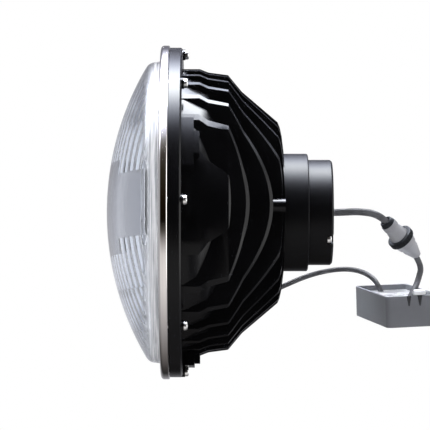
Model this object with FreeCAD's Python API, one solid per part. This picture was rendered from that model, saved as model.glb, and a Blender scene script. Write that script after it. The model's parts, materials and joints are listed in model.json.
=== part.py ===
"""A 7 inch round LED motorcycle headlight insert with its plug-in decoder box, in millimetres.

The lamp's axis is X: light leaves towards -X and the heat sink points to +X. +Z is up.
X = 0 is the rear face of the housing's flange, which seats against the lamp bucket.
Every turned or cast form is a profile of (x, radius) points revolved about the lamp's axis.
"""

import FreeCAD, Part
import math
import os

V = FreeCAD.Vector

# Lamp envelope
BEZEL_R = 89.0
BEZEL_WIDTH = 7.7
BEZEL_FRONT_X = -11.5
BEZEL_REAR_X = -7.0
BEZEL_EDGE = 1.8
FLANGE_INSET = 1.1
FLANGE_FRONT_X = -6.7
FLANGE_CHAMFER = 0.9
FLANGE_R = BEZEL_R - FLANGE_INSET

# Clearances and small edges that several pieces share
FIT = 0.3
SHANK_CLEARANCE = 0.2
EDGE_BREAK = 0.6
SCREW_BITE = 4.0
THREE_WAYS = (0.0, 120.0, 240.0)

# Pan head screws: shares of the head's height or radius
HEAD_ROUND = 0.45
RECESS_DEPTH = 0.45
RECESS_LENGTH = 1.2
RECESS_WIDTH = 0.3

# Lens: a shallow dome on a short skirt, with a foot that the bezel clamps
LENS_SHOULDER_X = -17.22
LENS_SPHERE_R = 152.0
LENS_WALL = 3.0
LENS_SKIRT_WALL = 3.2
LENS_EDGE = 3.5
LENS_FOOT = 2.0
LENS_FOOT_OUT = 1.6
BEZEL_FOOT_GAP = 0.3
LENS_SKIRT_R = BEZEL_R - BEZEL_WIDTH - BEZEL_FOOT_GAP
LENS_FOOT_R = LENS_SKIRT_R + LENS_FOOT_OUT
LENS_BORE_R = LENS_SKIRT_R - LENS_SKIRT_WALL
LENS_FOOT_X = BEZEL_REAR_X - LENS_FOOT
LENS_CENTRE_X = LENS_SHOULDER_X + math.sqrt(LENS_SPHERE_R**2 - LENS_SKIRT_R**2)
LENS_APEX_X = LENS_CENTRE_X - LENS_SPHERE_R
LENS_INNER_R = LENS_SPHERE_R - LENS_WALL

# Flutes on the inside of the lens: upright ribs in rows, round a clear centre
FLUTE_PITCH = 6.5
FLUTE_RISE = 0.8
FLUTE_ROWS = (42.0, 62.5)
FLUTE_OVERSHOOT = 2.0
CLEAR_WIDE = 16.5
CLEAR_TALL = 24.0
CLEAR_HALF_Y = 42.0
ROW_SHIFT = 2.2

# Seal between the lens foot and the housing
GASKET_DEPTH = 1.0
GASKET_INSET = 2.6
GASKET_MARGIN = 0.4
GASKET_IN_R = LENS_SKIRT_R - GASKET_INSET
GASKET_OUT_R = LENS_FOOT_R - GASKET_MARGIN

# Housing: flange, bowl, rear tube and fins in one casting.
# A profile's second numbers are how far it is drawn in from the radius that follows it.
BOWL_INSET = 11.9
BOWL_R = FLANGE_R - BOWL_INSET
BOWL_OUTSIDE = ((0.9, 0.0), (12.9, 4.0), (17.5, 8.6), (20.0, 15.0))
FLANK_X = 5.3
BOWL_WALL = 3.0
BOWL_BORE_R = BOWL_R - BOWL_WALL
BOWL_INSIDE = ((0.0, 0.0), (5.5, 0.0), (11.5, 6.0))
BOWL_CORNER_INSET = 8.5
BOWL_CORNER_R = BOWL_BORE_R - BOWL_CORNER_INSET
FLOOR_X = 14.0
FLOOR_WALL = 5.0
FLOOR_BACK_X = FLOOR_X + FLOOR_WALL
TUBE_R = 31.0
TUBE_WALL = 5.0
TUBE_BORE_R = TUBE_R - TUBE_WALL
TUBE_END_X = 53.5
FIN_PITCH = 10.4
FIN_ROOT = 2.6
FIN_MIDDLE = 1.6
FIN_TIP = 1.4
FIN_MIDDLE_X = 24.0
FIN_PROUD = 0.5
FIN_MARGIN = 2.0
FIN_R = BOWL_R + FIN_PROUD
FIN_PAIRS = int((FIN_R - FIN_MARGIN) / FIN_PITCH)
FIN_OUTLINE = (
    (9.0, 0.0),
    (13.6, 1.8),
    (24.05, 3.2),
    (31.5, 12.1),
    (TUBE_END_X - 3.1, 28.1),
    (TUBE_END_X - 2.0, 30.8),
    (TUBE_END_X - 1.0, 35.3),
    (TUBE_END_X, 43.4),
)
POST_R = 3.6
POST_AT_PITCH = 4.5
LUG_ANGLES = (68.0, -68.0, 180.0)
LUG_WIDTH = 27.0
LUG_INSET = 5.1
LUG_HEIGHT = 6.3
LUG_STEP_WIDTH = 12.7
LUG_STEP_INSET = 2.0
LUG_STEP_HEIGHT = 9.2
LUG_BITE = 1.5
LUG_R = FLANGE_R - LUG_INSET
LUG_STEP_R = LUG_R - LUG_STEP_INSET
LUG_FOOT_R = BOWL_R - LUG_BITE

# Rim screws: from the back of the flange into the bezel
RIM_SCREW_INSET = 4.1
RIM_SCREW_R = BEZEL_R - RIM_SCREW_INSET
RIM_SCREW_ANGLES = (0.0, 43.0, 90.0, 137.0, 180.0, -137.0, -90.0, -43.0)
RIM_BOSS_R = 2.9
RIM_BOSS_HEIGHT = 1.2
RIM_HEAD_R = 2.5
RIM_HEAD = 1.9
RIM_SHANK_R = 1.5
RIM_DEPTH = 3.0

# Light source
BOARD_R = 40.0
BOARD_WALL = 1.6
PAD_WALL = 0.5
BOARD_BACK_X = FLOOR_X - PAD_WALL
BOARD_X = BOARD_BACK_X - BOARD_WALL
BOARD_HEAD = 1.4
BOARD_HEAD_R = 2.6
BOARD_SHANK_R = 1.5
BOARD_SCREW_ANGLES = (45.0, 135.0, 225.0, 315.0)
CHIP = 3.4
CHIP_HEIGHT = 1.0
CHIP_GAP = 5.2
LOW_CHIPS = 6
HIGH_CHIPS = 4
LOW_ROW_Z = 11.0
HIGH_ROW_Z = -11.0

# Reflector and the ring that fills the gap round it
REFLECTOR_RIM_GAP = 2.0
REFLECTOR_RIM_R = BOWL_BORE_R - REFLECTOR_RIM_GAP
REFLECTOR_RIM_X = -6.2
REFLECTOR_THROAT_R = 27.0
REFLECTOR_BULGE = 1.0
REFLECTOR_MIDDLE_R = (REFLECTOR_RIM_R + REFLECTOR_THROAT_R) / 2 + REFLECTOR_BULGE
REFLECTOR_WALL = 1.6
REFLECTOR_BOARD_GAP = 0.2
REFLECTOR_THROAT_X = BOARD_X - REFLECTOR_WALL - REFLECTOR_BOARD_GAP
REFLECTOR_SAG = 1.9
REFLECTOR_BOSS_R = 4.5
REFLECTOR_BOSS_GAP = 0.5
REFLECTOR_FOOT_R = BOWL_CORNER_R - REFLECTOR_BOSS_R - REFLECTOR_BOSS_GAP
REFLECTOR_SEAT = 10.0
REFLECTOR_SEAT_X = FLOOR_X - REFLECTOR_SEAT
REFLECTOR_HEAD = 1.8
REFLECTOR_HEAD_R = 2.9
REFLECTOR_SCREW_R = 1.5
BOARD_SCREW_INSET = 3.5
BOARD_SCREW_R = REFLECTOR_THROAT_R - BOARD_SCREW_INSET
TRIM_GAP = 0.6
TRIM_OUT_R = LENS_BORE_R - TRIM_GAP
TRIM_IN_R = REFLECTOR_RIM_R + TRIM_GAP
TRIM_WALL = 1.5

# Driver in the rear tube. Places are (y, z) on the board.
DRIVER_X = 32.0
DRIVER_GAP = 1.4
DRIVER_R = TUBE_BORE_R - DRIVER_GAP
DRIVER_WALL = 1.6
DRIVER_BACK_X = DRIVER_X + DRIVER_WALL
DRIVER_SHANK_R = 1.2
DRIVER_HEAD_R = 2.3
DRIVER_HEAD = 1.3
WIRE_R = 0.9
WIRE_INSET = 4.6
WIRE_Z = DRIVER_R - WIRE_INSET
WIRE_GAP = 3.0
STANDOFF_R = 2.6
STANDOFF_INSET = 5.1
STANDOFF_AT_R = DRIVER_R - STANDOFF_INSET
STANDOFF_ANGLES = (60.0, 180.0, 300.0)
INDUCTOR_AT = (-5.0, 3.0)
INDUCTOR_R = 7.0
INDUCTOR_HEIGHT = 6.5
INDUCTOR_CHEEK = 1.5
INDUCTOR_WAIST = 0.62
CAPACITORS_AT = ((7.0, 6.5), (7.0, -3.0))
CAPACITOR_R = 4.0
CAPACITOR_HEIGHT = 9.0
REGULATORS_AT = ((-11.0, -9.5), (-2.0, -9.5), (7.0, -12.5))
REGULATOR = 6.0
REGULATOR_HEIGHT = 1.8

# Collar behind the fins
COLLAR_PROUD = 0.4
COLLAR_R = TUBE_R + COLLAR_PROUD
COLLAR_LENGTH = 13.0
COLLAR_WALL = 4.0
COLLAR_EDGE = 1.0
COLLAR_HOLE_R = 12.0
COLLAR_SCREW_INSET = 7.5
COLLAR_SCREW_AT_R = TUBE_BORE_R - COLLAR_SCREW_INSET
COLLAR_PILLAR_R = 4.0
COLLAR_PILLAR = 9.5
PILLAR_BITE = 1.0
COLLAR_SHANK_R = 1.5
COLLAR_HEAD_R = 2.7
COLLAR_HEAD = 1.7
COLLAR_END_X = TUBE_END_X + COLLAR_LENGTH
SEAL = 1.0
SEAL_INSIDE = 1.4
SEAL_OUTSIDE = 1.6
SEAL_IN_R = TUBE_BORE_R + SEAL_INSIDE
SEAL_OUT_R = TUBE_R - SEAL_OUTSIDE

# Cap behind the collar
CAP_INSET = 2.9
CAP_R = TUBE_R - CAP_INSET
CAP_LENGTH = 12.9
CAP_WALL = 6.8
CAP_BORE_R = CAP_R - CAP_WALL
CAP_REAR_WALL = 3.4
CAP_CHAMFER = 1.0
CAP_SCREW_INSET = 1.8
CAP_SCREW_AT_R = CAP_R - CAP_SCREW_INSET
CAP_SCREW_ANGLE = 126.0
CAP_SCREW_TURN = 30.0
CAP_SHANK_R = 1.2
CAP_HEAD_R = 2.3
CAP_HEAD = 2.2
CAP_POCKET_R = 3.0
CAP_POCKET = 3.2
CAP_SEAL_INSET = 0.9
CAP_SEAL_WALL = 1.5
CAP_SEAL_IN_R = CAP_BORE_R + CAP_SEAL_INSET
CAP_SEAL_OUT_R = CAP_SEAL_IN_R + CAP_SEAL_WALL
CAP_END_X = COLLAR_END_X + CAP_LENGTH

# Leads and their bushing. A bend takes this share of the shorter run beside it.
LAMP_LEAD_R = 1.9
BOX_LEAD_R = 1.6
OUTPUT_LEAD_R = 1.4
ARC_SHARE = 0.45
BOX_LEAD_IN = 10.5
GROMMET_R = 4.2
GROMMET_FLANGE_R = 5.0
GROMMET_FLANGE = 1.0

# In-line connector, along its own axis from the lamp's side
PLUG_START = V(CAP_END_X + 28.8, 0.0, -4.5)
PLUG_END = V(CAP_END_X + 46.8, 15.0, -22.1)
CONNECTOR_LENGTH = (PLUG_END - PLUG_START).Length
GRIP_LENGTH = 2.4
GRIP_R = 3.4
GRIP_EDGE = 0.3
GRIP_MOUTH_R = 2.6
GRIP_MOUTH = 1.0
BAND_LENGTH = 3.2
BAND_R = 4.2
BAND_STEP = 0.3
BAND_END = GRIP_LENGTH + BAND_LENGTH
NOTCHES = 24
NOTCH = 0.5
NOTCH_END = 0.4
CONE_R = 5.1
NUT_START = 12.4
NUT_LENGTH = 3.4
NUT_R = 7.25
NUT_LIP = 0.8
NUT_EDGE = 0.6
NUT_END = NUT_START + NUT_LENGTH
GROOVES = 20
GROOVE_R = 0.45
GROOVE_END = 0.7
GROOVE_OUT = 0.15
PLUG_FLANGE_R = 5.9
PLUG_FLANGE = 1.0
PLUG_FACE = NUT_START + NUT_LIP + PLUG_FLANGE
O_RING = 0.6
O_RING_IN_R = 3.2
O_RING_OUT_R = 4.4
SOCKET_R = 6.3
SOCKET_TIP_R = 5.3
SOCKET_LENGTH = 4.8
SOCKET_END = NUT_END + SOCKET_LENGTH
BOOT_R = 4.7
BOOT_TIP_R = 2.3
BOOT_STEP = 0.3
BOOT_SHOULDER = 0.3
PIN_R = 0.5
PIN_BITE = 4.0
PIN_CIRCLE_R = 2.2
PINS = 4

# Decoder box: an open tray, filled with potting
CASE_WIDTH = 30.0
CASE_LENGTH = 77.0
CASE_HEIGHT = 16.7
CASE_WALL = 1.3
CASE_EDGE = 3.0
CASE_AT = V(CAP_END_X + 28.7, -4.0, -45.4)
CASE_YAW = 9.3
CASE_TILT = 7.0
CASE_ROLL = -3.0
POTTING_DROP = 3.0
DECODER_BOARD = 1.6
BOARD_IN = 3.0
BOARD_OFF_FLOOR = 4.0
SLOT_AT = (12.4, 18.4)
SLOT_WIDTH = 2.6
SLOT_FOOT = 0.6
SLOT_DEPTH = 5.4
CLIP_R = 1.6
CLIP_ROUND = 0.4
CLIP_LENGTH = 6.6
CLIP_WIDTH = 3.0
CLIP_BITE = 1.5
LEAD_OUT = (11.6, CASE_LENGTH - 10.0)

# Headlight socket plug on the far end of the output lead
H4_ASIDE = 4.0
H4_START = V(27.0, BEZEL_R + H4_ASIDE, -46.5)
H4_DIRECTION = V(-0.97, 0.0, -0.24)
H4_LENGTH = 21.0
H4_WIDTH = 25.0
H4_HEIGHT = 20.0
H4_EDGE = 2.5
BLADE_WIDTH = 8.0
BLADE = 0.8
BLADE_OUT = 9.0
BLADE_IN = 6.0
BLADE_ASIDE = 6.4
BLADE_BELOW = 5.5
BLADE_ABOVE = 5.0

EDGE_SHARE = 0.9
TURN = V(1, 0, 0)
ORIGIN = V(0, 0, 0)


def polar(radius, degrees):
    """(y, z) at that radius, with the angle counted from the top towards -Y."""
    a = math.radians(degrees)
    return -radius * math.sin(a), radius * math.cos(a)


def revolved(points):
    """A solid turned about the lamp's axis from (x, radius) points."""
    corners = [V(x, 0, r) for x, r in points]
    face = Part.Face(Part.makePolygon(corners + corners[:1]))
    return face.revolve(ORIGIN, TURN, 360)


def disc(radius, x0, x1, y=0.0, z=0.0):
    return Part.makeCylinder(radius, x1 - x0, V(x0, y, z), TURN)


def ring(inner, outer, x0, x1):
    return disc(outer, x0, x1).cut(disc(inner, x0, x1))


def circle_edges(solid, radius, x):
    """The round edges of that radius about the lamp's axis at that x."""
    found = []
    for edge in solid.Edges:
        if edge.Degenerated:
            continue
        curve = edge.Curve
        if isinstance(curve, Part.Circle) and abs(curve.Radius - radius) < 0.01:
            if abs(curve.Center.x - x) < 0.01 and math.hypot(curve.Center.y, curve.Center.z) < 0.01:
                found.append(edge)
    return found


def screw(head_r, head, shank_r, shank):
    """A pan head screw whose head seats at x = 0 and stands towards +X, with a cross recess."""
    top = disc(head_r, 0, head)
    top = top.makeFillet(HEAD_ROUND * head, circle_edges(top, head_r, head))
    depth, across, wide = RECESS_DEPTH * head, RECESS_LENGTH * head_r, RECESS_WIDTH * head_r
    for turn in (0, 90):
        slot = Part.makeBox(depth, across, wide, V(head - depth, -across / 2, -wide / 2))
        slot.rotate(ORIGIN, TURN, turn)
        top = top.cut(slot)
    return top.fuse(disc(shank_r, -shank, 0)).removeSplitter()


def placed(solid, x, y, z, turn=0.0):
    copy = solid.copy()
    copy.rotate(ORIGIN, TURN, turn)
    copy.translate(V(x, y, z))
    return copy


def group(solids):
    return Part.makeCompound(list(solids))


def drawn_in(radius, profile):
    """The (x, radius) points of a profile whose radii are given as steps in from that one."""
    return tuple((x, radius - inset) for x, inset in profile)


# Lens


def dome_x(radius, at_r):
    """Where a sphere about the lens centre has that radius from the lamp's axis."""
    return LENS_CENTRE_X - math.sqrt(radius**2 - at_r**2)


def fluted_void(shift):
    """The space under the ribs: a scalloped line turned about a level axis through the dome's centre."""
    axis = V(LENS_CENTRE_X, 0, 0)
    half = math.ceil(LENS_BORE_R / FLUTE_PITCH) + 1

    def at(y, rise):
        return V(LENS_CENTRE_X - math.sqrt(LENS_INNER_R**2 - y**2) + rise, y, 0)

    edges = []
    for i in range(-half, half):
        y = i * FLUTE_PITCH + shift
        ends = at(y, 0), at(y + FLUTE_PITCH, 0)
        top = at(y + FLUTE_PITCH / 2, FLUTE_RISE)
        edges.append(Part.Arc(ends[0], top, ends[1]).toShape())
    start = at(-half * FLUTE_PITCH + shift, 0)
    end = at(half * FLUTE_PITCH + shift, 0)
    back_x = FLANGE_FRONT_X + LENS_WALL
    corners = [end, V(back_x, end.y, 0), V(back_x, start.y, 0), start]
    edges += [Part.makeLine(a, b) for a, b in zip(corners, corners[1:])]
    face = Part.Face(Part.Wire(edges))
    reach = math.degrees(math.asin(LENS_SKIRT_R / LENS_INNER_R)) + FLUTE_OVERSHOOT
    face.rotate(axis, V(0, 1, 0), -reach)
    return face.revolve(axis, V(0, 1, 0), 2 * reach)


def slab(z0, z1, half_y=LENS_SKIRT_R):
    """A block of the lens' whole depth between two heights."""
    return Part.makeBox(
        BEZEL_REAR_X - LENS_APEX_X + 2 * LENS_WALL,
        2 * half_y,
        z1 - z0,
        V(LENS_APEX_X - LENS_WALL, -half_y, z0),
    )


def make_lens():
    edge_x = dome_x(LENS_SPHERE_R, LENS_SKIRT_R)
    middle_r = LENS_SKIRT_R / 2
    dome = Part.Arc(
        V(LENS_APEX_X, 0, 0),
        V(dome_x(LENS_SPHERE_R, middle_r), 0, middle_r),
        V(edge_x, 0, LENS_SKIRT_R),
    ).toShape()
    corners = (
        (edge_x, LENS_SKIRT_R),
        (LENS_FOOT_X, LENS_SKIRT_R),
        (LENS_FOOT_X, LENS_FOOT_R),
        (BEZEL_REAR_X, LENS_FOOT_R),
        (BEZEL_REAR_X, 0),
        (LENS_APEX_X, 0),
    )
    corners = [V(x, 0, r) for x, r in corners]
    sides = [Part.makeLine(a, b) for a, b in zip(corners, corners[1:])]
    body = Part.Face(Part.Wire([dome] + sides)).revolve(ORIGIN, TURN, 360)
    body = body.makeFillet(LENS_EDGE, circle_edges(body, LENS_SKIRT_R, edge_x))

    bore = disc(LENS_BORE_R, LENS_APEX_X, BEZEL_REAR_X)
    smooth = Part.makeSphere(LENS_INNER_R, V(LENS_CENTRE_X, 0, 0)).common(bore)
    clear = slab(-CLEAR_WIDE, CLEAR_WIDE).fuse(slab(-CLEAR_TALL, CLEAR_TALL, CLEAR_HALF_Y))
    parts = [smooth.common(clear)]
    marks = (CLEAR_WIDE,) + FLUTE_ROWS + (LENS_SKIRT_R,)
    for row, (low, high) in enumerate(zip(marks, marks[1:])):
        under = fluted_void(row * ROW_SHIFT).common(bore)
        for block in (slab(low, high), slab(-high, -low)):
            parts.append(under.common(block.cut(clear)))
    for part in parts:
        body = body.cut(part)
    return body.removeSplitter()


def make_lens_gasket():
    return ring(GASKET_IN_R, GASKET_OUT_R, BEZEL_REAR_X, FLANGE_FRONT_X + GASKET_DEPTH)


def make_bezel():
    """A turned ring: an inner lip over the lens' foot, a rebate for the foot and tapped holes."""
    solid = revolved(
        (
            (BEZEL_FRONT_X, LENS_SKIRT_R + BEZEL_FOOT_GAP),
            (BEZEL_FRONT_X, BEZEL_R),
            (BEZEL_REAR_X, BEZEL_R),
            (BEZEL_REAR_X, LENS_FOOT_R + BEZEL_FOOT_GAP),
            (LENS_FOOT_X, LENS_FOOT_R + BEZEL_FOOT_GAP),
            (LENS_FOOT_X, LENS_SKIRT_R + BEZEL_FOOT_GAP),
        )
    )
    solid = solid.makeFillet(BEZEL_EDGE, circle_edges(solid, BEZEL_R, BEZEL_FRONT_X))
    for angle in RIM_SCREW_ANGLES:
        y, z = polar(RIM_SCREW_R, angle)
        solid = solid.cut(disc(RIM_SHANK_R, BEZEL_REAR_X - RIM_DEPTH, BEZEL_REAR_X, y, z))
    return solid


def make_rim_screws():
    length = RIM_BOSS_HEIGHT - BEZEL_REAR_X + RIM_DEPTH
    one = screw(RIM_HEAD_R, RIM_HEAD, RIM_SHANK_R, length)
    return group(
        placed(one, RIM_BOSS_HEIGHT, *polar(RIM_SCREW_R, angle), turn=angle)
        for angle in RIM_SCREW_ANGLES
    )


# Housing


def fin(y, outline):
    """One drafted upright plate, thick at the flange and thin at the back."""
    section = (
        (0, FIN_ROOT / 2),
        (FIN_MIDDLE_X, FIN_MIDDLE / 2),
        (TUBE_END_X, FIN_TIP / 2),
    )
    side = [V(x, y + half, -FLANGE_R) for x, half in section]
    other = [V(x, y - half, -FLANGE_R) for x, half in reversed(section)]
    face = Part.Face(Part.makePolygon(side + other + side[:1]))
    return face.extrude(V(0, 0, 2 * FLANGE_R)).common(outline)


def lug(angle):
    """A stepped locating block behind the flange."""
    blocks = []
    steps = (
        (LUG_WIDTH, LUG_R, LUG_HEIGHT),
        (LUG_STEP_WIDTH, LUG_STEP_R, LUG_STEP_HEIGHT),
    )
    for width, outer, height in steps:
        block = Part.makeBox(height, width, outer - LUG_FOOT_R, V(0, -width / 2, LUG_FOOT_R))
        block = block.common(disc(outer, 0, height))
        blocks.append(block)
    solid = blocks[0].fuse(blocks[1]).removeSplitter()
    solid.rotate(ORIGIN, TURN, angle)
    return solid


def collar_screw_spots():
    return [polar(COLLAR_SCREW_AT_R, angle) for angle in THREE_WAYS]


def standoff_spots():
    return [polar(STANDOFF_AT_R, angle) for angle in STANDOFF_ANGLES]


def board_screw_spots():
    return [polar(BOARD_SCREW_R, angle) for angle in BOARD_SCREW_ANGLES]


def reflector_spots():
    return [polar(REFLECTOR_FOOT_R, angle) for angle in THREE_WAYS]


def wire_spots():
    return [(side * WIRE_GAP / 2, WIRE_Z) for side in (-1, 1)]


def flanks(back_x):
    """What the bowl is relieved by at 45 degrees beyond the last fin but one on each side."""
    corners = (
        (FLANK_X, BOWL_R),
        (FLANK_X, FLANGE_R),
        (back_x, FLANGE_R),
        (back_x, BOWL_R - (back_x - FLANK_X)),
    )
    inner_y = (FIN_PAIRS - 1) * FIN_PITCH
    middle = Part.makeBox(back_x, 2 * inner_y, 2 * FLANGE_R, V(0, -inner_y, -FLANGE_R))
    return revolved(corners).cut(middle)


def make_housing():
    outline = revolved(((0, 0), (0, FIN_R)) + drawn_in(FIN_R, FIN_OUTLINE) + ((TUBE_END_X, 0),))
    outside = drawn_in(BOWL_R, BOWL_OUTSIDE)
    back_x = outside[-1][0]
    shell = revolved(
        (
            (FLANGE_FRONT_X, 0),
            (FLANGE_FRONT_X, FLANGE_R),
            (-FLANGE_CHAMFER, FLANGE_R),
            (0, FLANGE_R - FLANGE_CHAMFER),
            (0, BOWL_R),
        )
        + outside
        + ((back_x, TUBE_R), (TUBE_END_X, TUBE_R), (TUBE_END_X, 0))
    )
    shell = shell.cut(flanks(back_x))
    fins = [fin(i * FIN_PITCH, outline) for i in range(-FIN_PAIRS, FIN_PAIRS + 1)]
    post_y = POST_AT_PITCH * FIN_PITCH
    posts = [disc(POST_R, 0, TUBE_END_X, y, 0) for y in (-post_y, post_y)]
    bosses = [
        disc(RIM_BOSS_R, FLANGE_FRONT_X / 2, RIM_BOSS_HEIGHT, *polar(RIM_SCREW_R, angle))
        for angle in RIM_SCREW_ANGLES
    ]
    solid = shell.multiFuse(fins + posts + bosses + [lug(a) for a in LUG_ANGLES])

    cavity = revolved(
        ((FLANGE_FRONT_X, 0), (FLANGE_FRONT_X, BOWL_BORE_R))
        + drawn_in(BOWL_BORE_R, BOWL_INSIDE)
        + ((FLOOR_X, BOWL_CORNER_R), (FLOOR_X, 0))
    )
    cuts = [cavity, disc(TUBE_BORE_R, FLOOR_BACK_X, TUBE_END_X)]
    cuts.append(ring(GASKET_IN_R, GASKET_OUT_R, FLANGE_FRONT_X, FLANGE_FRONT_X + GASKET_DEPTH))
    cuts.append(ring(SEAL_IN_R, SEAL_OUT_R, TUBE_END_X - SEAL, TUBE_END_X))
    for angle in RIM_SCREW_ANGLES:
        spot = polar(RIM_SCREW_R, angle)
        cuts.append(disc(RIM_SHANK_R + SHANK_CLEARANCE, FLANGE_FRONT_X, RIM_BOSS_HEIGHT, *spot))
        cuts.append(disc(RIM_HEAD_R + FIT, RIM_BOSS_HEIGHT, LUG_STEP_HEIGHT, *spot))
    solid = solid.cut(cuts)

    pillars = []
    for y, z in collar_screw_spots():
        pillars.append(disc(COLLAR_PILLAR_R, TUBE_END_X - COLLAR_PILLAR, TUBE_END_X, y, z))
    reach = TUBE_BORE_R + PILLAR_BITE
    for angle in THREE_WAYS:
        rib = Part.makeBox(
            COLLAR_PILLAR,
            COLLAR_PILLAR_R,
            reach - COLLAR_SCREW_AT_R,
            V(TUBE_END_X - COLLAR_PILLAR, -COLLAR_PILLAR_R / 2, COLLAR_SCREW_AT_R),
        )
        rib.rotate(ORIGIN, TURN, angle)
        pillars.append(rib)
    solid = solid.multiFuse(pillars)
    holes = []
    for spot in collar_screw_spots():
        holes.append(disc(COLLAR_SHANK_R, TUBE_END_X - COLLAR_PILLAR, TUBE_END_X, *spot))
    for spot in board_screw_spots():
        holes.append(disc(BOARD_SHANK_R, FLOOR_X, FLOOR_X + SCREW_BITE, *spot))
    for spot in reflector_spots():
        holes.append(disc(REFLECTOR_SCREW_R, FLOOR_X, FLOOR_X + SCREW_BITE, *spot))
    for spot in wire_spots():
        holes.append(disc(WIRE_R + SHANK_CLEARANCE, FLOOR_X, FLOOR_BACK_X, *spot))
    return solid.cut(holes).removeSplitter()


# Light source


def dish(offset):
    """The reflector's curve as an edge, moved back by that much."""
    middle_x = (REFLECTOR_RIM_X + REFLECTOR_THROAT_X) / 2 + REFLECTOR_SAG
    return Part.Arc(
        V(REFLECTOR_RIM_X + offset, 0, REFLECTOR_RIM_R),
        V(middle_x + offset, 0, REFLECTOR_MIDDLE_R),
        V(REFLECTOR_THROAT_X + offset, 0, REFLECTOR_THROAT_R),
    ).toShape()


def make_reflector():
    front = dish(0)
    back = dish(REFLECTOR_WALL)
    rim = V(REFLECTOR_RIM_X, 0, REFLECTOR_RIM_R)
    throat = V(REFLECTOR_THROAT_X, 0, REFLECTOR_THROAT_R)
    wall = V(REFLECTOR_WALL, 0, 0)
    sides = [Part.makeLine(throat, throat + wall), Part.makeLine(rim + wall, rim)]
    section = Part.Face(Part.Wire([front, sides[0], back, sides[1]]))
    shell = section.revolve(ORIGIN, TURN, 360)
    corners = [throat, V(throat.x, 0, 0), V(rim.x, 0, 0), rim]
    edges = [front] + [Part.makeLine(a, b) for a, b in zip(corners, corners[1:])]
    full = Part.Face(Part.Wire(edges)).revolve(ORIGIN, TURN, 360)
    feet = []
    for y, z in reflector_spots():
        feet.append(disc(REFLECTOR_BOSS_R, REFLECTOR_RIM_X, FLOOR_X, y, z).cut(full))
    shell = shell.multiFuse(feet)
    for spot in reflector_spots():
        shell = shell.cut(disc(REFLECTOR_SCREW_R + SHANK_CLEARANCE, REFLECTOR_SEAT_X, FLOOR_X, *spot))
        shell = shell.cut(disc(REFLECTOR_HEAD_R + FIT, REFLECTOR_RIM_X, REFLECTOR_SEAT_X, *spot))
    return shell.removeSplitter()


def make_reflector_screws():
    length = REFLECTOR_SEAT + SCREW_BITE
    one = screw(REFLECTOR_HEAD_R, REFLECTOR_HEAD, REFLECTOR_SCREW_R, length)
    one.rotate(ORIGIN, V(0, 0, 1), 180)
    return group(placed(one, REFLECTOR_SEAT_X, y, z) for y, z in reflector_spots())


def make_trim_ring():
    solid = ring(TRIM_IN_R, TRIM_OUT_R, FLANGE_FRONT_X - TRIM_WALL, FLANGE_FRONT_X)
    edges = circle_edges(solid, TRIM_IN_R, FLANGE_FRONT_X - TRIM_WALL)
    return solid.makeFillet(TRIM_WALL / 2, edges)


def make_pad():
    pad = disc(BOARD_R, BOARD_BACK_X, FLOOR_X)
    for spot in board_screw_spots() + wire_spots():
        pad = pad.cut(disc(BOARD_SHANK_R + SHANK_CLEARANCE, BOARD_BACK_X, FLOOR_X, *spot))
    return pad


def make_led_board():
    board = disc(BOARD_R, BOARD_X, BOARD_BACK_X)
    for spot in board_screw_spots():
        board = board.cut(disc(BOARD_SHANK_R + SHANK_CLEARANCE, BOARD_X, BOARD_BACK_X, *spot))
    for spot in wire_spots():
        board = board.cut(disc(WIRE_R, BOARD_X, BOARD_BACK_X, *spot))
    return board


def chip_row(count, z):
    chips = []
    for i in range(count):
        y = (i - (count - 1) / 2) * CHIP_GAP
        corner = V(BOARD_X - CHIP_HEIGHT, y - CHIP / 2, z - CHIP / 2)
        chips.append(Part.makeBox(CHIP_HEIGHT, CHIP, CHIP, corner))
    return group(chips)


def make_board_screws():
    bite = FLOOR_X + SCREW_BITE - BOARD_X
    one = screw(BOARD_HEAD_R, BOARD_HEAD, BOARD_SHANK_R, bite)
    one.rotate(ORIGIN, V(0, 0, 1), 180)
    return group(placed(one, BOARD_X, y, z) for y, z in board_screw_spots())


def make_led_wires():
    return group(disc(WIRE_R, BOARD_X, DRIVER_X, y, z) for y, z in wire_spots())


# Driver


def make_driver_board():
    board = disc(DRIVER_R, DRIVER_X, DRIVER_BACK_X)
    for spot in standoff_spots():
        board = board.cut(disc(DRIVER_SHANK_R + SHANK_CLEARANCE, DRIVER_X, DRIVER_BACK_X, *spot))
    return board


def make_standoffs():
    posts = []
    for spot in standoff_spots():
        post = disc(STANDOFF_R, FLOOR_BACK_X, DRIVER_X, *spot)
        posts.append(post.cut(disc(DRIVER_SHANK_R, DRIVER_X - SCREW_BITE, DRIVER_X, *spot)))
    return group(posts)


def make_driver_screws():
    one = screw(DRIVER_HEAD_R, DRIVER_HEAD, DRIVER_SHANK_R, DRIVER_WALL + SCREW_BITE)
    return group(placed(one, DRIVER_BACK_X, y, z) for y, z in standoff_spots())


def make_inductor():
    top_x = DRIVER_BACK_X + INDUCTOR_HEIGHT
    core = disc(INDUCTOR_R, DRIVER_BACK_X, top_x)
    low_x, high_x = DRIVER_BACK_X + INDUCTOR_CHEEK, top_x - INDUCTOR_CHEEK
    waist = ring(INDUCTOR_WAIST * INDUCTOR_R, INDUCTOR_R, low_x, high_x)
    return placed(core.cut(waist), 0, *INDUCTOR_AT)


def make_capacitors():
    top_x = DRIVER_BACK_X + CAPACITOR_HEIGHT
    can = disc(CAPACITOR_R, DRIVER_BACK_X, top_x)
    can = can.makeFillet(EDGE_BREAK, circle_edges(can, CAPACITOR_R, top_x))
    return group(placed(can, 0, y, z) for y, z in CAPACITORS_AT)


def make_regulators():
    chips = []
    for y, z in REGULATORS_AT:
        corner = V(DRIVER_BACK_X, y - REGULATOR / 2, z - REGULATOR / 2)
        chips.append(Part.makeBox(REGULATOR_HEIGHT, REGULATOR, REGULATOR, corner))
    return group(chips)


# Collar and cap


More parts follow.
